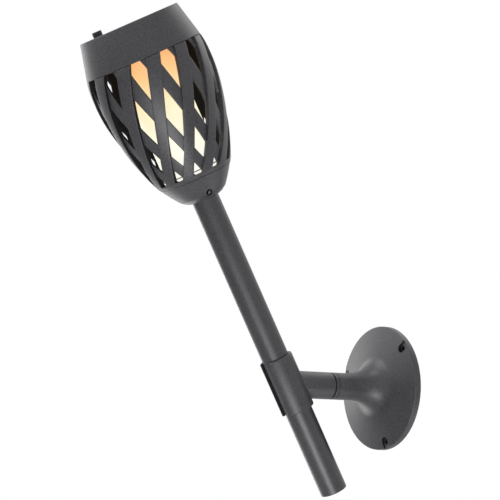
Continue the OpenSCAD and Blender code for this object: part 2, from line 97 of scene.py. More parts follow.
@dataclass(frozen=True)
class Sizes:
    """Sizes that more than one sub-assembly shares, in millimetres and degrees."""

    reach: float = 115.0
    lean: float = 28.0
    pole_d: float = 26.4
    pole_above: float = 195.4
    head_h: float = 179.6
    wall: float = 2.4
    cap_h: float = 34.6
    cap_top_d: float = 99.0
    cap_edge_d: float = 116.0
    head_d: float = 120.0
    waist_d: float = 106.8
    foot_d: float = 76.6
    seam_d: float = 71.0
    strips: int = 12
    strip_lean: float = 17.5
    strip_w_top: float = 14.2
    strip_w_foot: float = 10.2
    strip_depth: float = 5.1
    strip_recess: float = 2.5
    inner_strip_t: float = 2.4
    cross_angle: float = 18.9
    cup_h: float = 22.8
    foot_band_h: float = 4.3
    foot_step: float = 0.4
    ring_h: float = 6.6
    lip: float = 1.2
    flange_t: float = 2.5
    post_circle_r: float = 46.0
    posts: tuple[float, ...] = (90.0, 210.0, 330.0)
    belly_at: float = 0.2
    cross_at: float = 0.487
    waist_at: float = 0.605
    taper_at: float = 0.71
    turn_steps: int = 24

    @property
    def head_top(self) -> float:
        """Height of the head's flat top along the torch, from the clip's middle."""
        return self.pole_above + self.head_h

    @property
    def seam_drop(self) -> float:
        """Drop of the seam between basket and cup."""
        return self.head_h - self.cup_h

    @property
    def foot_drop(self) -> float:
        """Drop of the strips' lower ends."""
        return self.seam_drop - self.foot_band_h

    @property
    def ring_drop(self) -> float:
        """Drop of the upper edge of the basket's rings."""
        return self.cap_h - self.ring_h

    @property
    def sway(self) -> float:
        """Closest distance of a strip's path to the torch's axis, seen along it."""
        return self.head_d / 2 * math.sin(math.radians(self.strip_lean))

    def along(self, share: float) -> float:
        """Drop at a share of the way from the cap's edge to the strips' ends.

        Args:
            share: 0 at the cap's edge, 1 at the strips' lower ends.

        Returns:
            The drop in millimetres.
        """
        return self.cap_h + (self.foot_drop - self.cap_h) * share

    def radius(self, drop: float) -> float:
        """Radius of the head's outline at a drop.

        Args:
            drop: distance below the flat top.

        Returns:
            The radius in millimetres.
        """
        waist, belly = self.along(self.waist_at), self.along(self.belly_at)
        cap_slope = (self.cap_edge_d - self.cap_top_d) / 2 / self.cap_h
        waist_slope = (self.foot_d - self.head_d) / 2 / (self.foot_drop - belly)
        foot_slope = (self.foot_d - self.waist_d) / (self.foot_drop - waist) - waist_slope
        knots = (
            (self.cap_h, self.cap_edge_d / 2, cap_slope),
            (belly, self.head_d / 2, 0),
            (waist, self.waist_d / 2, waist_slope),
            (self.foot_drop, self.foot_d / 2, foot_slope),
        )
        if drop <= self.cap_h:
            return self.cap_top_d / 2 + cap_slope * drop
        for (start, r, slope), (end, end_r, end_slope) in zip(knots, knots[1:]):
            if drop <= end:
                return hermite((start, r), (end, end_r), slope, end_slope, drop)
        share = (drop - self.foot_drop) / (self.seam_drop - self.foot_drop)
        return self.foot_d / 2 + (self.seam_d / 2 + self.foot_step - self.foot_d / 2) * share

    def turn(self, drop: float) -> float:
        """Angle that a strip has turned through since the crossing, on its shortest path.

        Args:
            drop: distance below the flat top.

        Returns:
            The angle in degrees, negative above the crossing.
        """
        start, sway = self.along(self.cross_at), self.sway
        step = (drop - start) / self.turn_steps
        total = 0.0
        for i in range(self.turn_steps):
            x = start + (i + 0.5) * step
            r = self.radius(x)
            slope = self.radius(x + 0.5) - self.radius(x - 0.5)
            total += sway * math.hypot(1, slope) / (r * math.sqrt(r * r - sway * sway)) * step
        return math.degrees(total)

    def half_strip(self, drop: float) -> float:
        """Half of the angle that a strip covers at a drop.

        Args:
            drop: distance below the flat top.

        Returns:
            The angle in degrees.
        """
        taper = self.along(self.taper_at)
        share = min(1.0, max(0.0, (taper - drop) / (taper - self.cap_h)))
        width = self.strip_w_foot + (self.strip_w_top - self.strip_w_foot) * share
        r = self.radius(drop)
        return math.degrees(width / 2 / math.sqrt(r * r - self.sway * self.sway))

    def wall_frame(self) -> Matrix:
        """Turns a shape drawn along +Z to run from the wall into the room, in metres."""
        return Matrix.Scale(MM, 4) @ Matrix.Rotation(math.radians(90), 4, "X")

    def torch_frame(self) -> Matrix:
        """Puts a shape drawn along +Z round the torch's axis, from the clip's middle, in metres."""
        return (
            Matrix.Scale(MM, 4)
            @ Matrix.Translation((0, -self.reach, 0))
            @ Matrix.Rotation(math.radians(self.lean), 4, "X")
        )

    def head_frame(self) -> Matrix:
        """Puts a shape drawn below z = 0 under the head's flat top, in metres."""
        return self.torch_frame() @ Matrix.Translation((0, 0, self.head_top))


def hermite(p: Point, q: Point, start_slope: float, end_slope: float, x: float) -> float:
    """Cubic between two points with given slopes.

    Args:
        p: first point.
        q: second point.
        start_slope: slope at p.
        end_slope: slope at q.
        x: place between them.

    Returns:
        The height at x.
    """
    h = q[0] - p[0]
    t = (x - p[0]) / h
    return (
        (2 * t**3 - 3 * t**2 + 1) * p[1]
        + (t**3 - 2 * t**2 + t) * h * start_slope
        + (3 * t**2 - 2 * t**3) * q[1]
        + (t**3 - t**2) * h * end_slope
    )


def polar(radius: float, turn: float) -> Point:
    """Point at a radius and an angle in degrees from +X."""
    a = math.radians(turn)
    return radius * math.cos(a), radius * math.sin(a)


def spin_z(turn: float) -> Matrix:
    """Turn by an angle in degrees round +Z."""
    return Matrix.Rotation(math.radians(turn), 4, "Z")


SIZES = Sizes()


# ---------------------------------------------------------------------------
# Modelling bench: operators used as by hand
# ---------------------------------------------------------------------------


def rounded(corners: Sequence[Row], steps: int = 5) -> list[Point]:
    """Rounds the corners of a closed outline.

    Args:
        corners: (radius, height, rounding) of each corner in order; a rounding of 0 stays sharp.
        steps: pieces of each rounding.

    Returns:
        The outline's points.
    """
    points: list[Point] = []
    count = len(corners)
    for i, (x, y, r) in enumerate(corners):
        if r <= 0:
            points.append((x, y))
            continue
        here = Vector((x, y))
        before = Vector(corners[i - 1][:2]) - here
        after = Vector(corners[(i + 1) % count][:2]) - here
        before_dir, after_dir = before.normalized(), after.normalized()
        half = before_dir.angle(after_dir) / 2
        reach = min(r / math.tan(half), before.length * 0.49, after.length * 0.49)
        radius = reach * math.tan(half)
        centre = here + (before_dir + after_dir).normalized() * (radius / math.sin(half))
        first = here + before_dir * reach - centre
        last = here + after_dir * reach - centre
        sweep = first.angle_signed(last)
        for k in range(steps + 1):
            a = -sweep * k / steps
            x = centre.x + first.x * math.cos(a) - first.y * math.sin(a)
            y = centre.y + first.x * math.sin(a) + first.y * math.cos(a)
            points.append((x, y))
    return points


def deselect_all() -> None:
    """Leaves edit mode and deselects every object."""
    if bpy.context.object and bpy.context.object.mode != "OBJECT":
        bpy.ops.object.mode_set(mode="OBJECT")
    for obj in bpy.context.view_layer.objects:
        obj.select_set(False)


def only(obj: bpy.types.Object) -> None:
    """Makes one object the only selected and active one."""
    deselect_all()
    obj.select_set(True)
    bpy.context.view_layer.objects.active = obj


def named(name: str) -> bpy.types.Object:
    """Names the object that was just added, and its mesh."""
    obj = bpy.context.object
    obj.name = name
    obj.data.name = name
    return obj


def pick(obj: bpy.types.Object, kind: str, test: Callable) -> int:
    """Selects elements in edit mode by a test.

    Args:
        obj: the object in edit mode.
        kind: "verts", "edges" or "faces".
        test: says of each element whether it is picked.

    Returns:
        How many were picked.
    """
    modes = {"verts": "VERT", "edges": "EDGE", "faces": "FACE"}
    bpy.ops.mesh.select_mode(type=modes[kind])
    bpy.ops.mesh.select_all(action="DESELECT")
    mesh = bmesh.from_edit_mesh(obj.data)
    count = 0
    for element in getattr(mesh, kind):
        if test(element):
            element.select_set(True)
            count += 1
    mesh.select_flush_mode()
    bmesh.update_edit_mesh(obj.data)
    return count


def tidy_skin() -> None:
    """Merges doubles, drops loose edges and turns the faces outwards, in edit mode."""
    bpy.ops.mesh.select_mode(type="VERT")
    bpy.ops.mesh.select_all(action="SELECT")
    bpy.ops.mesh.remove_doubles(threshold=0.0005)
    bpy.ops.mesh.delete_loose(use_verts=True, use_edges=True, use_faces=False)
    bpy.ops.mesh.select_all(action="SELECT")
    bpy.ops.mesh.normals_make_consistent(inside=False)


def turned(name: str, outline: Sequence[Point], steps: int = ROUND_STEPS) -> bpy.types.Object:
    """Spins a closed outline all the way round +Z.

    Args:
        name: the new object's name.
        outline: (radius, height) of each point of the closed outline.
        steps: pieces round the axis.

    Returns:
        The new object, in object mode.
    """
    deselect_all()
    bpy.ops.mesh.primitive_circle_add(vertices=len(outline), radius=1, fill_type="NOTHING")
    obj = named(name)
    for vertex, (r, z) in zip(obj.data.vertices, outline):
        vertex.co = (r, 0, z)
    bpy.ops.object.mode_set(mode="EDIT")
    bpy.ops.mesh.select_all(action="SELECT")
    bpy.ops.mesh.spin(steps=steps, angle=math.radians(360), center=(0, 0, 0), axis=(0, 0, 1))
    tidy_skin()
    bpy.ops.object.mode_set(mode="OBJECT")
    return obj


def placed(obj: bpy.types.Object, matrix: Matrix) -> bpy.types.Object:
    """Moves an object's mesh by a matrix and leaves the object at the origin.

    Args:
        obj: the object.
        matrix: where its mesh goes.

    Returns:
        The same object.
    """
    only(obj)
    obj.matrix_world = matrix @ obj.matrix_world
    bpy.ops.object.transform_apply(location=True, rotation=True, scale=True)
    return obj


def use_modifier(obj: bpy.types.Object, kind: str, **settings: object) -> None:
    """Adds a modifier, sets it and applies it.

    Args:
        obj: the object.
        kind: Blender's name of the modifier's type.
        settings: its properties.
    """
    only(obj)
    modifier = obj.modifiers.new(kind.title(), kind)
    for key, value in settings.items():
        setattr(modifier, key, value)
    bpy.ops.object.modifier_apply(modifier=modifier.name)


def carve(obj: bpy.types.Object, *cutters: bpy.types.Object, operation: str = "DIFFERENCE") -> None:
    """Cuts an object with others, or joins them to it, and removes the others.

    Args:
        obj: what is cut.
        cutters: closed shapes.
        operation: DIFFERENCE, UNION or INTERSECT.
    """
    for cutter in cutters:
        use_modifier(obj, "BOOLEAN", operation=operation, object=cutter, solver="EXACT")
        bpy.data.objects.remove(cutter)


def soften(obj: bpy.types.Object, width: float, angle: float) -> None:
    """Rounds every edge that is sharper than an angle, in three pieces.

    Args:
        obj: the object.
        width: width of the rounding in millimetres.
        angle: the angle in degrees.
    """
    use_modifier(
        obj,
        "BEVEL",
        width=width,
        segments=3,
        limit_method="ANGLE",
        angle_limit=math.radians(angle),
        use_clamp_overlap=False,
        loop_slide=True,
        miter_outer="MITER_ARC",
    )


def joined(name: str, pieces: Sequence[bpy.types.Object]) -> bpy.types.Object:
    """Joins objects into the first and names it.

    Args:
        name: the joined object's name.
        pieces: the objects.

    Returns:
        The joined object.
    """
    deselect_all()
    for piece in pieces:
        piece.select_set(True)
    bpy.context.view_layer.objects.active = pieces[0]
    bpy.ops.object.join()
    return named(name)


def smooth(obj: bpy.types.Object) -> None:
    """Shades an object smooth, and sharp where it turns a corner."""
    only(obj)
    bpy.ops.object.shade_smooth_by_angle(angle=SMOOTH_ANGLE)


def rod(name: str, radius: float, low: float, high: float, at: Point = (0, 0)) -> bpy.types.Object:
    """A round cutter along +Z.

    Args:
        name: its name.
        radius: its radius.
        low: its lower end.
        high: its upper end.
        at: its axis.

    Returns:
        The cutter.
    """
    deselect_all()
    bpy.ops.mesh.primitive_cylinder_add(
        vertices=CUTTER_STEPS, radius=radius, depth=high - low, location=(*at, (low + high) / 2)
    )
    obj = named(name)
    bpy.ops.object.transform_apply(location=True, rotation=False, scale=False)
    return obj


def block(name: str, low: Sequence[float], high: Sequence[float]) -> bpy.types.Object:
    """A square cutter between two corners.

    Args:
        name: its name.
        low: its lowest corner.
        high: its highest corner.

    Returns:
        The cutter.
    """
    deselect_all()
    bpy.ops.mesh.primitive_cube_add(size=1, location=[(a + b) / 2 for a, b in zip(low, high)])
    obj = named(name)
    obj.scale = [b - a for a, b in zip(low, high)]
    bpy.ops.object.transform_apply(location=True, rotation=False, scale=True)
    return obj


def prism(name: str, corners: Sequence[Point], low: float, high: float) -> bpy.types.Object:
    """A cutter with a straight-sided outline, along +Z.

    Args:
        name: its name.
        corners: (x, y) of each corner of the outline.
        low: its lower end.
        high: its upper end.

    Returns:
        The cutter.
    """
    deselect_all()
    bpy.ops.mesh.primitive_circle_add(vertices=len(corners), radius=1, fill_type="NGON")
    obj = named(name)
    for vertex, (x, y) in zip(obj.data.vertices, corners):
        vertex.co = (x, y, low)
    bpy.ops.object.mode_set(mode="EDIT")
    bpy.ops.mesh.select_all(action="SELECT")
    bpy.ops.mesh.extrude_region_move(TRANSFORM_OT_translate={"value": (0, 0, high - low)})
    tidy_skin()
    bpy.ops.object.mode_set(mode="OBJECT")
    return obj


def finished(
    obj: bpy.types.Object,
    body: Body,
    material: Optional[bpy.types.Material],
    nodes: Sequence[str],
) -> None:
    """Dresses a finished piece and hands it to the frame.

    Args:
        obj: the piece, in metres in the frame.
        body: the body that it rides on.
        material: its finish, or None where its faces have theirs already.
        nodes: the frame's nodes that it stands for.
    """
    smooth(obj)
    if material:
        obj.data.materials.clear()
        obj.data.materials.append(material)
    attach(obj, body.value)
    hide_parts(*nodes)
    LOG.info("piece %s: %d faces on %s", obj.name, len(obj.data.polygons), body.value)


# ---------------------------------------------------------------------------
# Finishes
# ---------------------------------------------------------------------------

Number = Union[float, "Value"]


class Value:
    """A number socket in a material, with Python's operators adding Math nodes."""

    def __init__(self, shader: "Shader", socket: bpy.types.NodeSocket) -> None:
        """Wraps a socket of a shader."""
        self.shader = shader
        self.socket = socket

    def _math(self, operation: str, *inputs: Number) -> "Value":
        """Adds a Math node.

        Args:
            operation: its operation.
            inputs: numbers or values in order.

        Returns:
            Its output.
        """
        return self.shader.node("ShaderNodeMath", {"operation": operation}, dict(enumerate(inputs)))

    def __add__(self, other: Number) -> "Value":
        """Sum."""
        return self._math("ADD", self, other)

    __radd__ = __add__

    def __sub__(self, other: Number) -> "Value":
        """Difference."""
        return self._math("SUBTRACT", self, other)

    def __rsub__(self, other: Number) -> "Value":
        """Difference with this second."""
        return self._math("SUBTRACT", other, self)

    def __mul__(self, other: Number) -> "Value":
        """Product."""
        return self._math("MULTIPLY", self, other)

    __rmul__ = __mul__

    def __truediv__(self, other: Number) -> "Value":
        """Quotient."""
        return self._math("DIVIDE", self, other)

    def wrap(self, period: float) -> "Value":
        """Remainder that is never negative.

        Args:
            period: length of one repeat.

        Returns:
            A value from 0 to the period.
        """
        return self._math("FLOORED_MODULO", self, period)

    def distance(self) -> "Value":
        """Absolute value."""
        return self._math("ABSOLUTE", self)

    def below(self, limit: float, blur: float) -> "Value":
        """Soft test.

        Args:
            limit: the edge.
            blur: half the width of the edge.

        Returns:
            1 well below the limit and 0 well above it.
        """
        span = {"From Min": limit - blur, "From Max": limit + blur, "To Min": 1.0, "To Max": 0.0}
        smoothstep = {"interpolation_type": "SMOOTHSTEP"}
        return self.shader.node("ShaderNodeMapRange", smoothstep, {"Value": self, **span})


@dataclass
class Shader:
    """A material's node tree with one Principled surface."""

    name: str
    material: bpy.types.Material = field(init=False)
    surface: bpy.types.Node = field(init=False)

    def __post_init__(self) -> None:
        """Makes the material with its surface and output."""
        self.material = bpy.data.materials.new(self.name)
        self.material.use_nodes = True
        tree = self.material.node_tree
        tree.nodes.clear()
        output = tree.nodes.new("ShaderNodeOutputMaterial")
        self.surface = tree.nodes.new("ShaderNodeBsdfPrincipled")
        tree.links.new(self.surface.outputs[0], output.inputs["Surface"])

    def node(
        self,
        kind: str,
        settings: Optional[dict] = None,
        inputs: Optional[dict] = None,
        output: Union[int, str] = 0,
    ) -> Value:
        """Adds any node.

        Args:
            kind: Blender's name of its type.
            settings: its properties, and a ramp's stops under "stops", set first.
            inputs: values or links by socket name or number.
            output: the socket that is returned.

        Returns:
            The node's output.
        """
        made = self.material.node_tree.nodes.new(kind)
        for key, value in (settings or {}).items():
            if key == "stops":
                ramp = made.color_ramp
                while len(ramp.elements) > 1:
                    ramp.elements.remove(ramp.elements[-1])
                for i, (place, colour) in enumerate(value):
                    stop = ramp.elements[0] if i == 0 else ramp.elements.new(place)
                    stop.position = place
                    stop.color = (*colour, 1.0)
            else:
                setattr(made, key, value)
        for key, value in (inputs or {}).items():
            self.feed(made.inputs[key], value)
        return Value(self, made.outputs[output])

    def feed(self, socket: bpy.types.NodeSocket, value: object) -> None:
        """Links or sets one socket.

        Args:
            socket: the input.
            value: a Value to link, or a number, colour or vector to set.
        """
        if isinstance(value, Value):
            self.material.node_tree.links.new(value.socket, socket)
        elif socket.type == "RGBA" and len(value) == 3:
            socket.default_value = (*value, 1.0)
        else:
            socket.default_value = value

    def surface_set(self, **inputs: object) -> "Shader":
        """Feeds the surface's sockets; underscores stand for spaces."""
        for key, value in inputs.items():
            self.feed(self.surface.inputs[key.replace("_", " ")], value)
        return self

    def place(self) -> Value:
        """Object coordinates, in metres in the frame."""
        return self.node("ShaderNodeTexCoord", output="Object")

    def noise(self, scale: float, detail: float = 2.0, roughness: float = 0.5) -> Value:
        """Noise over the surface.

        Args:
            scale: repeats in a metre.
            detail: octaves.
            roughness: weight of the finer octaves.

        Returns:
            A value round 0.5.
        """
        return self.node(
            "ShaderNodeTexNoise",
            {"noise_dimensions": "3D"},
            {"Vector": self.place(), "Scale": scale, "Detail": detail, "Roughness": roughness},
        )

    def mix(self, share: Number, first: object, second: object) -> Value:
        """Mixes two colours.

        Args:
            share: 0 for the first and 1 for the second.
            first: a colour or a Value.
            second: a colour or a Value.

        Returns:
            The mixed colour.
        """
        return self.node("ShaderNodeMix", {"data_type": "RGBA"}, {0: share, 6: first, 7: second}, 2)

    def bump(self, height: Value, strength: float, depth_mm: float) -> Value:
        """Bump normal.

        Args:
            height: the height pattern, 0 to 1.
            strength: the bump's strength.
            depth_mm: its depth in millimetres.

        Returns:
            The normal.
        """
        inputs = {"Strength": strength, "Distance": depth_mm * MM, "Height": height}
        return self.node("ShaderNodeBump", None, inputs)

    def along(self, axis: Sequence[float], origin: Sequence[float]) -> Value:
        """Distance along an axis, in metres.

        Args:
            axis: its direction.
            origin: where the distance is 0.

        Returns:
            The distance.
        """
        kind = "ShaderNodeVectorMath"
        offset = self.node(kind, {"operation": "SUBTRACT"}, {0: self.place(), 1: tuple(origin)})
        return self.node(kind, {"operation": "DOT_PRODUCT"}, {0: offset, 1: tuple(axis)}, 1)


@dataclass(frozen=True)
class MouldedPlastic:
    """Satin moulded plastic with a fine spark-eroded grain."""

    name: str
    colour: tuple[float, float, float]
    roughness: float = 0.42
    grain_mm: float = 1.4
    grain_depth_mm: float = 0.06
    mottle: float = 0.6
    specular: float = 0.5

    def build(self) -> bpy.types.Material:
        """Makes the material and returns it."""
        shader = Shader(self.name)
        cloud = shader.noise(38.0, 3.0)
        grain = shader.noise(1 / (self.grain_mm * MM), 2.0, 0.6)
        dark = tuple(c * (1 - self.mottle) for c in self.colour)
        light = tuple(c * (1 + self.mottle) for c in self.colour)
        shader.surface_set(
            Base_Color=shader.mix(cloud * 0.3 + grain * 1.8 - 0.55, dark, light),
            Roughness=cloud * 0.06 + grain * 0.16 + (self.roughness - 0.11),
            Normal=shader.bump(grain, 0.35, self.grain_depth_mm),
            Specular_IOR_Level=self.specular,
        )
        return shader.material


@dataclass(frozen=True)
class BareMetal:
    """Plated or turned metal with fine tool marks."""

    name: str
    colour: tuple[float, float, float]
    roughness: float = 0.3
    marks_mm: float = 0.25

    def build(self) -> bpy.types.Material:
        """Makes the material and returns it."""
        shader = Shader(self.name)
        marks = shader.noise(1 / (self.marks_mm * MM), 3.0, 0.65)
        cloud = shader.noise(260.0, 2.0)
        dull = tuple(c * 0.8 for c in self.colour)
        shader.surface_set(
            Base_Color=shader.mix(cloud, dull, self.colour),
            Metallic=1.0,
            Roughness=marks * 0.16 + (self.roughness - 0.08),
            Normal=shader.bump(marks, 0.25, 0.01),
        )
        return shader.material


@dataclass(frozen=True)
class GlowingTube:
    """Frosted tube lit from inside, orange at the top and near white at the foot, with a painted
    shadow line near its seat.
    """

    name: str
    stops: tuple[tuple[float, tuple[float, float, float]], ...]
    seat_shadow_mm: float = 6.7

    def build(self) -> bpy.types.Material:
        """Makes the material and returns it."""
        shader = Shader(self.name)
        frame = SIZES.head_frame()
        axis = (frame.to_3x3() @ Vector((0, 0, -1))).normalized()
        top = frame @ Vector((0, 0, -SIZES.ring_drop))
        length = (SIZES.seam_drop - SIZES.ring_drop) * MM
        share = shader.along(axis, top) / length
        flicker = shader.noise(34.0, 1.5)
        height = share + flicker * 0.10 - 0.05
        glow = shader.node("ShaderNodeValToRGB", {"stops": self.stops}, {"Fac": height})
        frost = shader.noise(2600.0, 2.0)
        # painted shadow: a thin dark line in the glow where the tube stands in its seat
        seat = (share - (1 - self.seat_shadow_mm * MM / length)).distance().below(0.003, 0.0015)
        shader.surface_set(
            Base_Color=(0.32, 0.28, 0.22),
            Roughness=frost * 0.15 + 0.5,
            Emission_Color=shader.mix(seat, glow, (0.06, 0.05, 0.04)),
            Emission_Strength=1.0,
            Normal=shader.bump(frost, 0.3, 0.02),
        )
        return shader.material


@dataclass(frozen=True)
class SolarSilicon:
    """Dark blue cells with fine silver fingers across them."""

    name: str
    finger_gap_mm: float = 1.6

    def build(self) -> bpy.types.Material:
        """Makes the material and returns it."""
        shader = Shader(self.name)
        frame = SIZES.head_frame()
        across = (frame.to_3x3() @ Vector((1, 0, 0))).normalized()
        centre = frame @ Vector((0, 0, 0))
        gap = self.finger_gap_mm * MM
        offset = (shader.along(across, centre).wrap(gap) - gap / 2).distance()
        finger = offset.below(gap * 0.06, gap * 0.03)
        grain = shader.noise(420.0, 2.0)
        cell = shader.mix(grain, (0.006, 0.010, 0.028), (0.014, 0.024, 0.060))
        shader.surface_set(
            Base_Color=shader.mix(finger, cell, (0.42, 0.43, 0.45)),
            Metallic=finger * 0.8,
            Roughness=grain * 0.1 + 0.25,
        )
        return shader.material


@dataclass(frozen=True)
class ClearResin:
    """Glossy clear resin over the cells."""

    name: str
    colour: tuple[float, float, float]

    def build(self) -> bpy.types.Material:
        """Makes the material and returns it."""
        shader = Shader(self.name)
        ripple = shader.noise(180.0, 1.0)
        shader.surface_set(
            Base_Color=self.colour,
            Roughness=ripple * 0.04 + 0.03,
            Transmission_Weight=1.0,
            IOR=1.5,
            Normal=shader.bump(ripple, 0.15, 0.05),
        )
        return shader.material


@dataclass(frozen=True)
class CircuitBoard:
    """Solder mask with fine copper tracks under it."""

    name: str
    mask: tuple[float, float, float]
    track: tuple[float, float, float]

    def build(self) -> bpy.types.Material:
        """Makes the material and returns it."""
        shader = Shader(self.name)
        pattern = {"Vector": shader.place(), "Scale": 190.0}
        cells = shader.node("ShaderNodeTexVoronoi", {"feature": "DISTANCE_TO_EDGE"}, pattern)
        tracks = cells.below(0.06, 0.02)
        shader.surface_set(
            Base_Color=shader.mix(tracks, self.mask, self.track),
            Roughness=tracks * 0.1 + 0.32,
            Normal=shader.bump(tracks, 0.4, 0.04),
        )
        return shader.material


class Palette:
    """Every finish of the object, made once."""

    def __init__(self) -> None:
        """Makes the materials."""
        grey = (0.046, 0.0455, 0.051)
        self.anthracite = MouldedPlastic("anthracite_plastic", grey).build()
        # painted shade: a near-black, dull copy of the grey plastic, put on faces in pockets, bores
        # and the lattice's backs where shade falls
        self.inside = MouldedPlastic(
            "painted_shade_inside", (0.005, 0.0055, 0.007), 0.75, specular=0.2
        ).build()
        self.swivel = MouldedPlastic("swivel_plastic", grey, 0.4).build()
        self.pole = MouldedPlastic("pole_plastic", grey, 0.38, 1.1, 0.04).build()
        self.black = MouldedPlastic("black_plastic", (0.018, 0.018, 0.019), 0.5).build()
        self.button = MouldedPlastic("button_rubber", (0.010, 0.010, 0.011), 0.6, 0.25).build()
        self.white = MouldedPlastic("white_plastic", (0.80, 0.79, 0.76), 0.45, mottle=0.05).build()
        self.wrap = MouldedPlastic(
            "battery_wrap", (0.09, 0.27, 0.5), 0.22, 0.8, 0.004, 0.05
        ).build()
        self.lamp = MouldedPlastic("lamp_resin", (0.92, 0.74, 0.28), 0.2, mottle=0.05).build()
        self.dark_steel = BareMetal("black_steel", (0.17, 0.17, 0.175), 0.42).build()
        self.steel = BareMetal("zinc_steel", (0.62, 0.63, 0.64), 0.3).build()
        self.brass = BareMetal("brass", (0.72, 0.53, 0.22), 0.25).build()
        self.glow = GlowingTube(
            "frosted_plastic",
            (
                (0.06, (0.93, 0.46, 0.17)),
                (0.22, (0.97, 0.62, 0.27)),
                (0.40, (0.98, 0.80, 0.50)),
                (0.62, (0.98, 0.93, 0.71)),
                (0.90, (0.96, 0.95, 0.88)),
            ),
        ).build()
        self.silicon = SolarSilicon("solar_silicon").build()
        self.resin = ClearResin("clear_resin", (0.9, 0.93, 0.96)).build()
        self.white_board = CircuitBoard("white_board", (0.8, 0.8, 0.77), (0.7, 0.7, 0.66)).build()
        self.green_board = CircuitBoard(
            "green_board", (0.02, 0.14, 0.05), (0.05, 0.26, 0.10)
        ).build()


# ---------------------------------------------------------------------------
# Sub-assemblies
# ---------------------------------------------------------------------------


@dataclass
class SubAssembly:
    """A group of pieces that is modelled and dressed together."""

    palette: Palette

    def darken(self, obj: bpy.types.Object, inside: Callable) -> None:
        """Gives a piece the moulded finish, and the faces that a test picks a near-black painted
        shade.

        Args:
            obj: the piece.
            inside: says of each face whether it gets the painted shade.
        """
        obj.data.materials.clear()
        obj.data.materials.append(self.palette.anthracite)
        obj.data.materials.append(self.palette.inside)
        for face in obj.data.polygons:
            if inside(face):
                face.material_index = 1


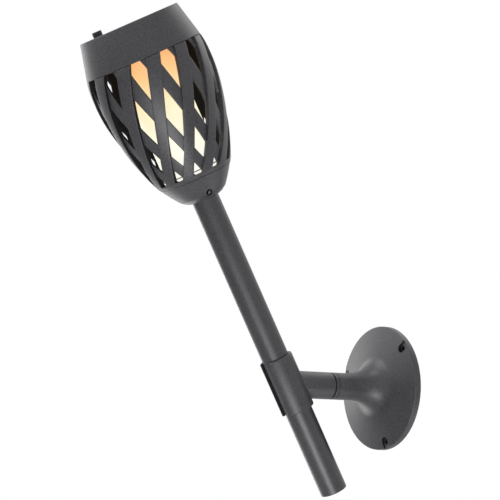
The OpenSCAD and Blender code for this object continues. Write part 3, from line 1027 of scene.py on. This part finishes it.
@dataclass
class WallMount(SubAssembly):
    """Flared wall plate with its screw pockets, and the swivel ring."""

    plate_d: float = 122.0
    rim_h: float = 6.3
    plate_wall: float = 3.0
    neck_reach: float = 61.1
    neck_straight: float = 16.0
    neck_d: float = 26.4
    screw_inset: float = 6.5
    screw_hole_d: float = 5.0
    pocket_w: float = 8.8
    pocket_sink: float = 0.9
    pocket_wall: float = 1.6
    first_screw: float = 42.0
    screws: int = 3
    ring_t: float = 5.2
    groove_w: float = 1.4
    groove_depth: float = 2.4
    step_w: float = 0.5
    step_depth: float = 1.0
    bolt_d: float = 8.0
    run_gap: float = 0.05
    seat_gap: float = 0.1
    flare_r: float = 22.0
    flare_end: float = 82.0
    flare_steps: int = 26
    face_h: float = 5.6
    edge: float = 0.3
    end_wall: float = 5.0

    @property
    def screw_r(self) -> float:
        """Distance of each wall screw from the plate's centre."""
        return self.plate_d / 2 - self.screw_inset

    def flare(self, inset: float) -> list[Point]:
        """Points of the elliptic flare from the neck to the face.

        Args:
            inset: how far inside the outer skin the points lie.

        Returns:
            (radius, distance from the wall) of each point.
        """
        start = self.neck_reach - self.neck_straight
        height = start - self.rim_h - self.face_h
        points = []
        for i in range(self.flare_steps + 1):
            a = math.radians(self.flare_end * i / self.flare_steps)
            r = self.neck_d / 2 + self.flare_r * (1 - math.cos(a))
            points.append((r - inset * 0.9, start - height * math.sin(a) - inset))
        return points

    def skin(self) -> list[Point]:
        """Closed outline of the moulded shell."""
        neck, rim, wall, reach = self.neck_d / 2, self.plate_d / 2, self.plate_wall, self.neck_reach
        end = rounded([(0, reach, 0), (neck, reach, self.edge), (neck, reach - 9, 0)])
        outer = end[1:-1] + self.flare(0)
        rim_corners = [(rim, self.rim_h, 1.2), (rim, 0, 0.4), (rim - wall, 0, 0.4)]
        edge = rounded([(*outer[-1], 0), *rim_corners], 6)[1:]
        inner = [(rim - wall, self.rim_h - wall), *self.flare(wall)[::-1]]
        inner += [(neck - wall, reach - self.end_wall), (0, reach - self.end_wall)]
        return [(0, reach)] + outer + edge + inner

    def screw_turns(self) -> list[float]:
        """Angles of the wall screws, in degrees."""
        return [self.first_screw + 360 / self.screws * i for i in range(self.screws)]

    def build_plate(self) -> None:
        """Models the wall plate."""
        plate = turned("wall_plate_shell", self.skin(), 180)
        half, floor, top = self.pocket_w / 2, self.rim_h - self.pocket_sink, self.rim_h + PAST
        for turn in self.screw_turns():
            at = polar(self.screw_r, turn)
            boss = rod("boss", half + self.pocket_wall, 0.4, self.rim_h - 0.3, at)
            carve(plate, boss, operation="UNION")
        for turn in self.screw_turns():
            place = spin_z(turn) @ Matrix.Translation((self.screw_r, 0, 0))
            seat = placed(rod("seat", half, floor, top), place)
            hole = placed(rod("hole", self.screw_hole_d / 2, -1, self.rim_h + 8), place)
            rim = self.plate_d / 2 + 5
            channel = block("channel", (self.screw_r, -half, floor), (rim, half, top))
            carve(plate, seat, placed(channel, spin_z(turn)), hole)
        bore_r = self.bolt_d / 2 + self.run_gap
        carve(plate, rod("bolt_bore", bore_r, 20, self.neck_reach + 2))
        # painted shade: the side walls of the screw pockets and holes get the near-black finish
        self.darken(plate, self.in_pocket)
        placed(plate, SIZES.wall_frame())
        finished(plate, Body.BRACKET, None, ["wall_plate"])

    def in_pocket(self, face: bpy.types.MeshPolygon) -> bool:
        """Whether a face of the plate is a side wall of a screw pocket or hole, which gets painted
        shade.

        Args:
            face: the face, with the wall at z = 0, in millimetres.

        Returns:
            True in a pocket or a hole.
        """
        half = self.pocket_w / 2 + 0.05
        for turn in self.screw_turns():
            spot = spin_z(-turn) @ face.center
            along = spot.x - self.screw_r
            if abs(spot.y) < half and -half < along < self.screw_inset - 0.4:
                return abs(face.normal.z) < 0.5
        return False

    def build_ring(self) -> None:
        """Models the swivel ring between neck and arm."""
        low, high = self.neck_reach, self.neck_reach + self.ring_t
        r, bore = self.neck_d / 2, self.bolt_d / 2 + self.seat_gap
        step, shelf = low + self.step_w, high - self.groove_w
        outline = rounded(
            [
                (bore, low, 0),
                (r - self.step_depth, low, 0),
                (r - self.step_depth, step, 0.1),
                (r, step, self.edge),
                (r, shelf, self.edge),
                (r - self.groove_depth, shelf, 0.2),
                (r - self.groove_depth, high, 0),
                (bore, high, 0),
            ]
        )
        ring = placed(turned("swivel_ring_body", outline), SIZES.wall_frame())
        finished(ring, Body.BRACKET, self.palette.swivel, ["swivel_ring"])

    def build(self) -> None:
        """Models and dresses the plate and the ring."""
        self.build_plate()
        self.build_ring()


@dataclass
class ArmAndClip(SubAssembly):
    """The arm beyond the swivel and the slotted clip round the pole."""

    arm_d: float = 26.4
    arm_start: float = 66.6
    edge: float = 0.3
    clip_len: float = 55.4
    clip_wall: float = 3.1
    clip_gap: float = 0.05
    weld: float = 0.3
    slot_angle: float = 58.0
    insert_r: float = 6.5
    insert_len: float = 12.0

    @property
    def clip_in(self) -> float:
        """Inner radius of the clip."""
        return SIZES.pole_d / 2 + self.clip_gap

    @property
    def clip_out(self) -> float:
        """Outer radius of the clip."""
        return self.clip_in + self.clip_wall

    def build_arm(self) -> None:
        """Models the arm up to the clip."""
        start, end, r = self.arm_start, SIZES.reach, self.arm_d / 2
        outline = rounded([(0, start, 0), (r, start, self.edge), (r, end, 0), (0, end, 0)])
        arm = placed(turned("arm_body", outline), SIZES.wall_frame())
        sleeve_r, far = self.clip_out - self.weld, 2 * self.clip_len
        sleeve = rod("sleeve_space", sleeve_r, -far, far)
        pocket = rod("insert_pocket", self.insert_r, start - 1, start + self.insert_len)
        carve(arm, placed(sleeve, SIZES.torch_frame()), placed(pocket, SIZES.wall_frame()))
        finished(arm, Body.ARM, self.palette.anthracite, ["arm_stub"])

    def build_clip(self) -> None:
        """Models the slotted sleeve."""
        bore, out, half = self.clip_in, self.clip_out, self.clip_len / 2
        corners = [(bore, -half, 0.6), (out, -half, 1.1), (out, half, 1.1), (bore, half, 0.6)]
        clip = turned("clip_sleeve", rounded(corners))
        opening = math.radians(self.slot_angle / 2)
        side, ahead = 2 * out * math.sin(opening), -2 * out * math.cos(opening)
        wedge = [(0, 0), (side, ahead), (-side, ahead)]
        carve(clip, prism("slot", wedge, -self.clip_len, self.clip_len))
        soften(clip, 0.4, 50)
        # painted shade: the faces in the bore and the slot get the near-black finish
        self.darken(clip, self.in_sleeve)
        placed(clip, SIZES.torch_frame())
        finished(clip, Body.ARM, None, ["pole_clip"])

    def in_sleeve(self, face: bpy.types.MeshPolygon) -> bool:
        """Whether a face of the clip looks into its bore or its slot, where it gets painted shade.

        Args:
            face: the face, round the torch's axis, in millimetres.

        Returns:
            True in the bore and the slot.
        """
        return face.center.xy.length < self.clip_out - 0.5 and abs(face.normal.z) < 0.5

    def build(self) -> None:
        """Models and dresses the arm and the clip."""
        self.build_arm()
        self.build_clip()


@dataclass
class Pole(SubAssembly):
    """The round pole, with its end plug, and the cup on top of it."""

    wall: float = 1.5
    below: float = 115.0
    insert: float = 18.0
    seat_gap: float = 0.1
    plug_h: float = 14.0
    plug_wall: float = 1.9
    cup_corner_d: float = 46.0
    cup_foot_h: float = 4.8
    cup_steps: int = 14
    socket_roof: float = 2.0
    lock_drop: float = 5.9
    lock_turn: float = -17.4
    lock_r: float = 1.4
    lock_well_r: float = 3.2
    lock_wall: float = 1.6

    @property
    def radius(self) -> float:
        """Outer radius of the pole."""
        return SIZES.pole_d / 2

    @property
    def cup_in(self) -> float:
        """Radius of the cup's socket."""
        return self.radius + self.seat_gap

    @property
    def cup_low(self) -> float:
        """Drop of the cup's lower corner."""
        return SIZES.head_h - self.cup_foot_h

    def cup_radius(self, drop: float) -> float:
        """Radius of the cup's outside at a drop."""
        top, foot = (SIZES.seam_drop, SIZES.seam_d / 2), (self.cup_low, self.cup_corner_d / 2)
        return hermite(top, foot, -0.6, -0.8, drop)

    def build_pole(self) -> None:
        """Models the pole and its plug."""
        r, bore = self.radius, self.radius - self.wall
        low, high = -self.below, SIZES.pole_above + self.insert
        outline = rounded([(bore, low, 0.3), (r, low, 0.8), (r, high, 0.3), (bore, high, 0.3)])
        pole = placed(turned("pole_body", outline), SIZES.torch_frame())
        finished(pole, Body.TORCH, self.palette.pole, ["pole_tube"])
        seat, lip = bore - self.seat_gap, low + self.plug_h
        cup = rounded(
            [
                (0, low + 0.6, 0),
                (seat, low + 0.6, 0.5),
                (seat, lip, 0),
                (seat - self.plug_wall, lip, 0),
                (seat - self.plug_wall, low + 3, 0.5),
                (0, low + 3, 0),
            ]
        )
        plug = placed(turned("pole_plug_body", cup), SIZES.torch_frame())
        finished(plug, Body.TORCH, self.palette.black, ["pole_end_plug"])

    def cup_shell(self, skin: list[Point]) -> bpy.types.Object:
        """Models the cup's shell with its socket.

        Args:
            skin: (radius, height) of the points down its outside, from the seam.

        Returns:
            The shell, below the head's flat top, in millimetres.
        """
        wall, low, bore, corner = SIZES.wall, self.cup_low, self.cup_in, self.cup_corner_d / 2
        bottom = rounded(
            [
                (*skin[-1], 0),
                (corner, -low, 0.8),
                (corner - 4.4, -(low + 3.1), 2.5),
                (bore + 1.8, -(SIZES.head_h - 0.2), 0.8),
                (bore, -SIZES.head_h, 0.3),
                (bore, -(low - 1), 0),
            ]
        )[1:]
        inner = [(corner - wall - 1, -(low - 1))]
        inner += [(self.cup_radius(d) - wall - 0.3, -d) for d in self.cup_drops()[-2::-1]]
        rim = [(SIZES.seam_d / 2 - wall, -SIZES.seam_drop)]
        shell = turned("cup_body", rim + skin + bottom + inner)
        roof = -(SIZES.head_h - self.insert - self.socket_roof)
        socket = [
            (bore, -(low + 1)),
            (bore + wall, -(low + 0.2)),
            (bore + wall, roof + self.socket_roof),
            (0, roof + self.socket_roof),
            (0, roof),
            (bore, roof),
        ]
        carve(shell, turned("socket", socket), operation="UNION")
        return shell

    def cup_drops(self) -> list[float]:
        """Drops of the points down the cup's side, from the seam to the lower corner."""
        seam, steps = SIZES.seam_drop, self.cup_steps
        return [seam + (self.cup_low - seam) * i / steps for i in range(steps + 1)]

    def build_cup(self) -> None:
        """Models the cup under the basket, with its recessed lock screw."""
        seam, low, corner = SIZES.seam_drop, self.cup_low, self.cup_corner_d / 2
        side = [(self.cup_radius(d), -max(d, seam + 0.18)) for d in self.cup_drops()[:-1]]
        cup = self.cup_shell([(SIZES.seam_d / 2 - 0.2, -seam), *side])
        drop = SIZES.head_h - self.lock_drop
        quarter = Matrix.Rotation(math.radians(90), 4, "Y")
        place = Matrix.Translation((0, 0, -drop)) @ spin_z(self.lock_turn) @ quarter
        foot = [(corner - 0.5, -low), (corner - 4.6, -(low + 2.6)), (0, -(low + 2.6))]
        core = turned("core", [(0, -seam), *((r - 0.5, z) for r, z in side), *foot])
        start = self.cup_in
        boss = placed(rod("boss", self.lock_well_r + self.lock_wall, start + 0.4, start + 9), place)
        carve(boss, core, operation="INTERSECT")
        carve(cup, boss, operation="UNION")
        well = placed(rod("well", self.lock_well_r, start + 3, start + 2 * PAST), place)
        bore = placed(rod("bore", self.lock_r, 0, 4 * PAST), place)
        carve(cup, well, bore)
        placed(cup, SIZES.head_frame())
        finished(cup, Body.TORCH, self.palette.anthracite, ["base_cup"])
        self.build_lock_screw(place, self.cup_radius(drop) - 0.4)

    def build_lock_screw(self, place: Matrix, end: float) -> None:
        """Models the small slotted screw that holds the pole, standing in its open well.

        Args:
            place: where the screw points, under the flat top.
            end: distance of its outer end from the torch's axis.
        """
        r, start = self.lock_r - 0.1, self.radius + 0.05
        outline = rounded([(0, start, 0), (r, start, 0.3), (r, end, 0.3), (0, end, 0)])
        screw = turned("lock_screw_body", outline, 48)
        carve(screw, block("slot", (-3, -0.3, end - 0.9), (3, 0.3, end + 2)))
        placed(screw, SIZES.head_frame() @ place)
        finished(screw, Body.TORCH, self.palette.dark_steel, ["pole_lock_screw"])

    def build(self) -> None:
        """Models and dresses the pole and the cup."""
        self.build_pole()
        self.build_cup()


class Lean(Enum):
    """Which way a layer's strips turn as they go down."""

    OUTER = -1
    INNER = 1


@dataclass
class StripLayer:
    """The strips that lean one way, between an upper ring and a foot ring."""

    lean: Lean
    rows: list[Row]
    across_strip: int = 6
    across_window: int = 4
    edge_round: float = 0.35

    @property
    def pitch(self) -> float:
        """Angle from one strip to the next."""
        return 360 / SIZES.strips

    def build(self, name: str) -> bpy.types.Object:
        """Models the strips as a sheet whose columns follow them, with its windows removed.

        Args:
            name: the object's name.

        Returns:
            The strips, below the head's flat top, in millimetres.
        """
        columns = SIZES.strips * (self.across_strip + self.across_window)
        last = len(self.rows) - 1
        deselect_all()
        bpy.ops.mesh.primitive_grid_add(x_subdivisions=columns, y_subdivisions=last, size=2)
        obj = named(name)
        for vertex in obj.data.vertices:
            column = round((vertex.co.x + 1) / 2 * columns)
            row = round((1 - vertex.co.y) / 2 * last)
            vertex.co = self.point(column, row)
        bpy.ops.object.mode_set(mode="EDIT")
        tidy_skin()
        pick(obj, "faces", self.in_window)
        bpy.ops.mesh.delete(type="FACE")
        bpy.ops.mesh.select_all(action="SELECT")
        bpy.ops.mesh.extrude_region_move()
        self.sink(obj)
        tidy_skin()
        bpy.ops.object.mode_set(mode="OBJECT")
        soften(obj, self.edge_round, 40)
        return obj

    def sink(self, obj: bpy.types.Object) -> None:
        """Moves the picked corners inwards to the back of the strips.

        Args:
            obj: the object in edit mode.
        """
        depths = {round(drop, 3): depth for drop, _, depth in self.rows}
        mesh = bmesh.from_edit_mesh(obj.data)
        for vertex in mesh.verts:
            if vertex.select:
                r = math.hypot(vertex.co.x, vertex.co.y)
                share = (SIZES.radius(-vertex.co.z) - depths[round(-vertex.co.z, 3)]) / r
                vertex.co.x *= share
                vertex.co.y *= share
        bmesh.update_edit_mesh(obj.data)

    def turn(self, drop: float) -> float:
        """Angle at which the middle of the first strip stands at a drop."""
        return self.lean.value * SIZES.turn(drop) + SIZES.cross_angle

    def point(self, column: int, row: int) -> Vector:
        """Place of a corner of the sheet.

        Args:
            column: its column, along the strips.
            row: its row, from the top.

        Returns:
            The place.
        """
        drop, inset, _ = self.rows[row]
        pair, part = divmod(column, self.across_strip + self.across_window)
        half = SIZES.half_strip(max(drop, SIZES.cap_h - 1))
        if part <= self.across_strip:
            local = -half + 2 * half * part / self.across_strip
        else:
            gap = self.pitch - 2 * half
            local = half + gap * (part - self.across_strip) / self.across_window
        x, y = polar(SIZES.radius(drop) - inset, self.turn(drop) + pair * self.pitch + local)
        return Vector((x, y, -drop))

    def in_window(self, face: bmesh.types.BMFace) -> bool:
        """Whether a face of the sheet lies in a window.

        Args:
            face: the face.

        Returns:
            True in a window.
        """
        centre = face.calc_center_median()
        drop, pitch = -centre.z, self.pitch
        if not SIZES.cap_h - 0.5 < drop < SIZES.foot_drop:
            return False
        offset = math.degrees(math.atan2(centre.y, centre.x)) - self.turn(drop)
        return abs((offset + pitch / 2) % pitch - pitch / 2) > SIZES.half_strip(drop)


@dataclass
class Basket(SubAssembly):
    """One moulded lattice: thick outer strips, and thinner strips set back between them."""

    row_step: float = 2.4
    skirt_h: float = 3.0
    skirt_t: float = 1.3
    flange_w: float = 6.0
    ledge_r: float = 41.5
    ledge_t: float = 2.2
    ledge_hole_r: float = 1.7

    def strip_rows(self, start: float, end: float, inset: float, depth: float) -> list[Row]:
        """Evenly spaced rows of a strip.

        Args:
            start: drop of the first row.
            end: drop of the last row.
            inset: how far inside the head's outline their face lies.
            depth: how far inside it their back lies.

        Returns:
            (drop, inset, depth) of each row.
        """
        count = max(1, round((end - start) / self.row_step))
        return [(start + (end - start) * i / count, inset, depth) for i in range(count + 1)]

    def outer_strips(self) -> bpy.types.Object:
        """Models the strips that lie on the head's outline, with the ring in the cap."""
        cap, foot, deep = SIZES.cap_h, SIZES.foot_drop, SIZES.strip_depth
        hidden = SIZES.lip + 0.1
        rows = [(drop, hidden, deep) for drop in (SIZES.ring_drop, cap - 3, cap - 0.5, cap + 0.05)]
        rows += [(cap + 0.35, 0.4, deep), (cap + 0.8, 0.0, deep)]
        rows += self.strip_rows(cap + 2.6, foot, 0.0, deep)
        rows += [(foot + 2, 0.0, deep), (SIZES.seam_drop - 0.2, 0.0, deep)]
        return StripLayer(Lean.OUTER, rows).build("outer_strips")

    def inner_strips(self) -> bpy.types.Object:
        """Models the strips that are set back, with both ends inside the lattice."""
        face, back = SIZES.strip_recess, SIZES.strip_recess + SIZES.inner_strip_t
        rows = self.strip_rows(SIZES.cap_h - 2, SIZES.foot_drop + 1, face, back)
        return StripLayer(Lean.INNER, rows).build("inner_strips")

    def foot_flange(self) -> bpy.types.Object:
        """Models the flange at the basket's foot, with the skirt that enters the cup."""
        seam, bore = -SIZES.seam_drop, SIZES.seam_d / 2 - self.flange_w
        skirt, top = bore + self.skirt_t, seam + SIZES.flange_t
        edge = SIZES.radius(-top) - 0.8
        outline = [(bore, seam - self.skirt_h), (skirt, seam - self.skirt_h), (skirt, seam)]
        outline += [(SIZES.seam_d / 2 - 1.2, seam), (edge, top), (bore, top)]
        return turned("foot_flange", outline)

    def ledge(self) -> bpy.types.Object:
        """Models the ledge that the cap's screws pull on."""
        top, out = -SIZES.ring_drop, SIZES.radius(SIZES.ring_drop) - 4
        low, bore = top - self.ledge_t, self.ledge_r
        ledge = turned("ledge", [(bore, low), (out, low), (out, top), (bore, top)])
        for turn in SIZES.posts:
            at = polar(SIZES.post_circle_r, turn)
            carve(ledge, rod("hole", self.ledge_hole_r, top - PAST, top + PAST, at))
        return ledge

    def in_lattice(self, face: bpy.types.MeshPolygon) -> bool:
        """Whether a face is the back of a strip, or a side wall on one side only, which both get
        painted shade.

        Args:
            face: the face, below the head's flat top, in millimetres.

        Returns:
            True on the backs and the side walls with painted shade.
        """
        outward = Vector((face.center.x, face.center.y, 0)).normalized()
        onwards = Vector((-outward.y, outward.x, 0))
        depth = SIZES.radius(-face.center.z) - math.hypot(face.center.x, face.center.y)
        gets_painted_shade = face.normal.dot(outward) < 0.55 and face.normal.dot(onwards) > -0.3
        return gets_painted_shade and depth > 0.6

    def build(self) -> None:
        """Models and dresses the lattice."""
        layers = [self.outer_strips(), self.inner_strips()]
        basket = joined("strip_lattice", [*layers, self.foot_flange(), self.ledge()])
        # painted shade: the strips' backs and the side walls that face one way round the axis get
        # the near-black finish
        self.darken(basket, self.in_lattice)
        placed(basket, SIZES.head_frame())
        finished(basket, Body.TORCH, None, ["strip_basket"])


@dataclass
class Lamp(SubAssembly):
    """The glowing frosted tube."""

    tube_d: float = 56.0
    tube_wall: float = 1.5
    base_t: float = 4.0
    seat_gap: float = 0.1

    def build(self) -> None:
        """Models and dresses the tube."""
        r, bore = self.tube_d / 2, self.tube_d / 2 - self.tube_wall
        low = -(SIZES.seam_drop - SIZES.flange_t - self.base_t - self.seat_gap - self.seat_gap)
        high = -(SIZES.ring_drop + self.seat_gap)
        outline = rounded([(bore, low, 0.5), (r, low, 0.6), (r, high, 0.6), (bore, high, 0.5)])
        tube = placed(turned("frosted_tube_body", outline), SIZES.head_frame())
        finished(tube, Body.TORCH, self.palette.glow, ["diffuser_tube"])


@dataclass
class Cap(SubAssembly):
    """The cap with its solar panel and push button."""

    panel_d: float = 66.0
    seat_drop: float = 2.8
    seat_t: float = 1.6
    seat_wall: float = 1.4
    post_r: float = 3.8
    pilot_r: float = 1.2
    plate_t: float = 2.8
    board_gap: float = 4.0
    board_t: float = 1.6
    switch_h: float = 4.5
    stem_r: float = 1.9
    button_d: float = 9.2
    button_h: float = 5.0
    button_at: float = 40.5
    button_turn: float = -80.1
    button_gap: float = 0.12

    def build_shell(self) -> None:
        """Models the cap."""
        wall, cap, ring = SIZES.wall, SIZES.cap_h, SIZES.ring_drop
        panel, seat_r = self.panel_d / 2 + 0.1, self.panel_d / 2 + self.seat_wall
        seat, under = -self.seat_drop, -self.seat_drop - self.seat_t
        outline = rounded(
            [
                (0, seat, 0),
                (panel, seat, 0),
                (panel, 0, 0.4),
                (SIZES.radius(0), 0, 1.0),
                (SIZES.radius(cap), -cap, 0.45),
                (SIZES.radius(cap) - SIZES.lip, -cap, 0.2),
                (SIZES.radius(ring) - SIZES.lip, -ring, 0),
                (SIZES.radius(ring) - wall, -ring, 0),
                (SIZES.radius(wall) - wall, -wall, 1.0),
                (seat_r, -wall, 0),
                (seat_r, under, 0.4),
                (0, under, 0),
            ]
        )
        shell = turned("cap_shell", outline, 160)
        for turn in SIZES.posts:
            at = polar(SIZES.post_circle_r, turn)
            post = rod("post", self.post_r, -(ring - self.plate_t - 0.1), -wall + 0.4, at)
            carve(shell, post, operation="UNION")
            carve(shell, rod("pilot", self.pilot_r, -(ring - 1), -12, at))
        at = polar(self.button_at, self.button_turn)
        hole_r = self.button_d / 2 + self.button_gap
        carve(shell, rod("button_hole", hole_r, -wall - 1, 2, at))
        placed(shell, SIZES.head_frame())
        finished(shell, Body.TORCH, self.palette.anthracite, ["top_cap"])

    def build_window(self) -> None:
        """Models the clear resin over the cells, with the recess that holds them."""
        low, top, r = -self.seat_drop, -0.3, self.panel_d / 2
        cells_r, cells_top = r - 2.5, low + 0.5
        corners = [(0, cells_top, 0), (cells_r, cells_top, 0), (cells_r, low, 0), (r, low, 0)]
        outline = rounded([*corners, (r, top, 0.35), (0, top, 0)])
        window = placed(turned("solar_window_body", outline), SIZES.head_frame())
        finished(window, Body.TORCH, self.palette.resin, ["solar_window"])

    def build_button(self) -> None:
        """Models the push button with its soft dished top."""
        r, stem, top, skin = self.button_d / 2, self.stem_r, self.button_h, SIZES.wall + 0.1
        board = SIZES.ring_drop - self.plate_t - self.board_gap - self.board_t
        foot, collar_r, collar = -(board - self.switch_h), r + 0.9, -(skin + 1.2)
        outline = rounded(
            [
                (0, foot, 0),
                (stem, foot, 0.2),
                (stem, collar, 0),
                (collar_r, collar, 0.2),
                (collar_r, -skin, 0.2),
                (r, -skin, 0),
                (r, top, 0.9),
                (r * 0.62, top - 0.05, 0.6),
                (r * 0.3, top - 0.35, 1.0),
                (0, top - 0.35, 0),
            ]
        )
        place = spin_z(self.button_turn) @ Matrix.Translation((self.button_at, 0, 0))
        button = placed(turned("button_body", outline, 72), SIZES.head_frame() @ place)
        finished(button, Body.BUTTON, self.palette.button, ["push_button"])

    def build(self) -> None:
        """Models and dresses the cap, the window and the button."""
        self.build_shell()
        self.build_window()
        self.build_button()


@dataclass
class InnerParts(SubAssembly):
    """The pieces of the frame that keep their own shape and get a finish here."""

    nodes: dict[str, bpy.types.Object]

    def build(self) -> None:
        """Gives each node its finish."""
        palette = self.palette
        finishes = {
            "swivel_insert": palette.brass,
            "swivel_bolt": palette.steel,
            "spring_washer": palette.steel,
            "clip_screws": palette.steel,
            # painted glow: the lamp base, which is no lamp, gets the tube's emitting finish
            "lamp_base": palette.glow,
            "lamp_base_screws": palette.steel,
            "lamp_column": palette.white,
            "lamp_boards": palette.white_board,
            "lamps": palette.lamp,
            "cap_plate": palette.black,
            "cap_screws": palette.steel,
            "solar_cells": palette.silicon,
            "battery": palette.wrap,
            "battery_cradle": palette.black,
            "battery_contacts": palette.steel,
            "control_board": palette.green_board,
            "board_parts": palette.black,
            "switch_body": palette.black,
        }
        for node, finish in finishes.items():
            obj = self.nodes[node]
            obj.data.materials.clear()
            obj.data.materials.append(finish)
            smooth(obj)
            LOG.info("node %s: %s", node, finish.name)


# ---------------------------------------------------------------------------
# Studio
# ---------------------------------------------------------------------------


@dataclass(frozen=True)
class SoftLamp:
    """One soft lamp that faces the object."""

    name: str
    direction: tuple[float, float, float]
    size: Point
    power: float


@dataclass
class Studio:
    """Camera, floor, lamps and world; each lamp's direction is right, up and back in the view."""

    yaw: float = 57.61
    pitch: float = -8.02
    roll: float = -0.11
    focal_px: float = 1984.0
    frame_px: float = 500.0
    sensor_mm: float = 36.0
    target_mm: tuple[float, float, float] = (-43.7, -128.9, 134.2)
    distance_mm: float = 1953.6
    floor_m: float = -1.4
    floor_shown: float = 0.7
    room_light: float = 0.15
    lamp_m: float = 1.9
    lamps: tuple[SoftLamp, ...] = (
        SoftLamp("left_high", (-0.69, 0.67, 0.0), (1.3, 1.3), 21),
        SoftLamp("back_left", (-0.6, 0.09, -0.78), (1.3, 1.3), 8),
        SoftLamp("back_right_high", (0.5, 0.67, -0.55), (1.4, 1.4), 6),
        SoftLamp("low_front", (0.0, -0.62, 0.79), (1.2, 1.2), 22),
        SoftLamp("low_right", (0.79, -0.62, 0.0), (1.2, 1.2), 6),
        SoftLamp("low_back", (-0.25, -0.6, -0.76), (1.2, 1.2), 10),
        SoftLamp("low_spot", (0.04, -0.65, 0.76), (0.4, 0.4), 5),
        SoftLamp("overhead", (-0.1, 0.99, 0.11), (0.6, 0.6), 8),
        SoftLamp("front_strip", (0.22, -0.21, 0.95), (0.3, 0.6), 2),
    )

    def axes(self) -> tuple[Vector, Vector, Vector]:
        """The camera's right, up and backward directions."""
        a, e = math.radians(self.yaw), math.radians(self.pitch)
        back = Vector((math.sin(a) * math.cos(e), -math.cos(a) * math.cos(e), math.sin(e)))
        right = Vector((math.cos(a), math.sin(a), 0))
        up = back.cross(right)
        turn = Matrix.Rotation(math.radians(self.roll), 3, back)
        return turn @ right, turn @ up, back

    def build_camera(self) -> None:
        """Sets the camera at the photograph's viewing angle."""
        right, up, back = self.axes()
        data = bpy.data.cameras.new("camera")
        data.sensor_width = self.sensor_mm
        data.lens = self.focal_px / self.frame_px * self.sensor_mm
        data.clip_start, data.clip_end = 0.05, 100.0
        camera = bpy.data.objects.new("camera", data)
        bpy.context.scene.collection.objects.link(camera)
        turn = Matrix((right, up, back)).transposed().to_4x4()
        place = Vector(self.target_mm) * MM + back * self.distance_mm * MM
        camera.matrix_world = Matrix.Translation(place) @ turn
        bpy.context.scene.camera = camera

    def add_lamp(self, plan: SoftLamp) -> None:
        """Adds one soft lamp.

        Args:
            plan: its name, direction, size and power.
        """
        right, up, back = self.axes()
        x, y, z = plan.direction
        way = (right * x + up * y + back * z).normalized()
        data = bpy.data.lights.new(plan.name, "AREA")
        data.shape = "RECTANGLE"
        data.size, data.size_y = plan.size
        data.energy = plan.power
        lamp = bpy.data.objects.new(plan.name, data)
        bpy.context.scene.collection.objects.link(lamp)
        lamp.location = Vector(self.target_mm) * MM + way * self.lamp_m
        lamp.rotation_mode = "QUATERNION"
        lamp.rotation_quaternion = way.to_track_quat("Z", "Y")

    def build_floor(self) -> None:
        """Lays the pale floor, which keeps the object's shadow and shows the camera pale grey."""
        deselect_all()
        bpy.ops.mesh.primitive_circle_add(
            vertices=96, radius=9, fill_type="NGON", location=(0, 0, self.floor_m)
        )
        floor = named("floor")
        bpy.ops.object.transform_apply(location=True, rotation=False, scale=False)
        shader = Shader("floor_white")
        to_camera = shader.node("ShaderNodeLightPath", output="Is Camera Ray")
        through_glass = shader.node("ShaderNodeLightPath", output="Is Transmission Ray")
        in_gloss = shader.node("ShaderNodeLightPath", output="Is Glossy Ray")
        shown = to_camera + through_glass + in_gloss * 0.3
        pale = (self.floor_shown, self.floor_shown, self.floor_shown)
        shader.surface_set(
            Base_Color=(0.86, 0.86, 0.86),
            Roughness=0.9,
            Emission_Color=shader.mix(shown, (0.0, 0.0, 0.0), pale),
            Emission_Strength=1.0,
        )
        floor.data.materials.append(shader.material)

    def build_world(self) -> None:
        """Fills the room with soft light, and shows the camera a white background."""
        world = bpy.data.worlds.new("studio")
        bpy.context.scene.world = world
        world.use_nodes = True
        tree = world.node_tree
        tree.nodes.clear()
        output = tree.nodes.new("ShaderNodeOutputWorld")
        path = tree.nodes.new("ShaderNodeLightPath")
        mix = tree.nodes.new("ShaderNodeMixShader")
        for socket, strength in ((1, self.room_light), (2, 1.0)):
            white = tree.nodes.new("ShaderNodeBackground")
            white.inputs["Color"].default_value = (1, 1, 1, 1)
            white.inputs["Strength"].default_value = strength
            tree.links.new(white.outputs[0], mix.inputs[socket])
        shown = path.outputs["Is Camera Ray"]
        for ray in ("Is Glossy Ray", "Is Transmission Ray"):
            either = tree.nodes.new("ShaderNodeMath")
            either.operation = "MAXIMUM"
            tree.links.new(shown, either.inputs[0])
            tree.links.new(path.outputs[ray], either.inputs[1])
            shown = either.outputs[0]
        tree.links.new(shown, mix.inputs[0])
        tree.links.new(mix.outputs[0], output.inputs["Surface"])

    def build(self) -> None:
        """Sets the whole studio."""
        bpy.context.scene.view_settings.view_transform = "Standard"
        self.build_camera()
        self.build_floor()
        self.build_world()
        for lamp in self.lamps:
            self.add_lamp(lamp)


def main() -> None:
    """Builds the studio and every sub-assembly in order."""
    logging.basicConfig(level=logging.INFO, format="%(name)s: %(message)s")
    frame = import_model()
    Studio().build()
    palette = Palette()
    InnerParts(palette, frame["nodes"]).build()
    for group in (WallMount, ArmAndClip, Pole, Basket, Lamp, Cap):
        LOG.info("sub-assembly %s", group.__name__)
        group(palette).build()
    deselect_all()


if __name__ == "__main__":
    main()
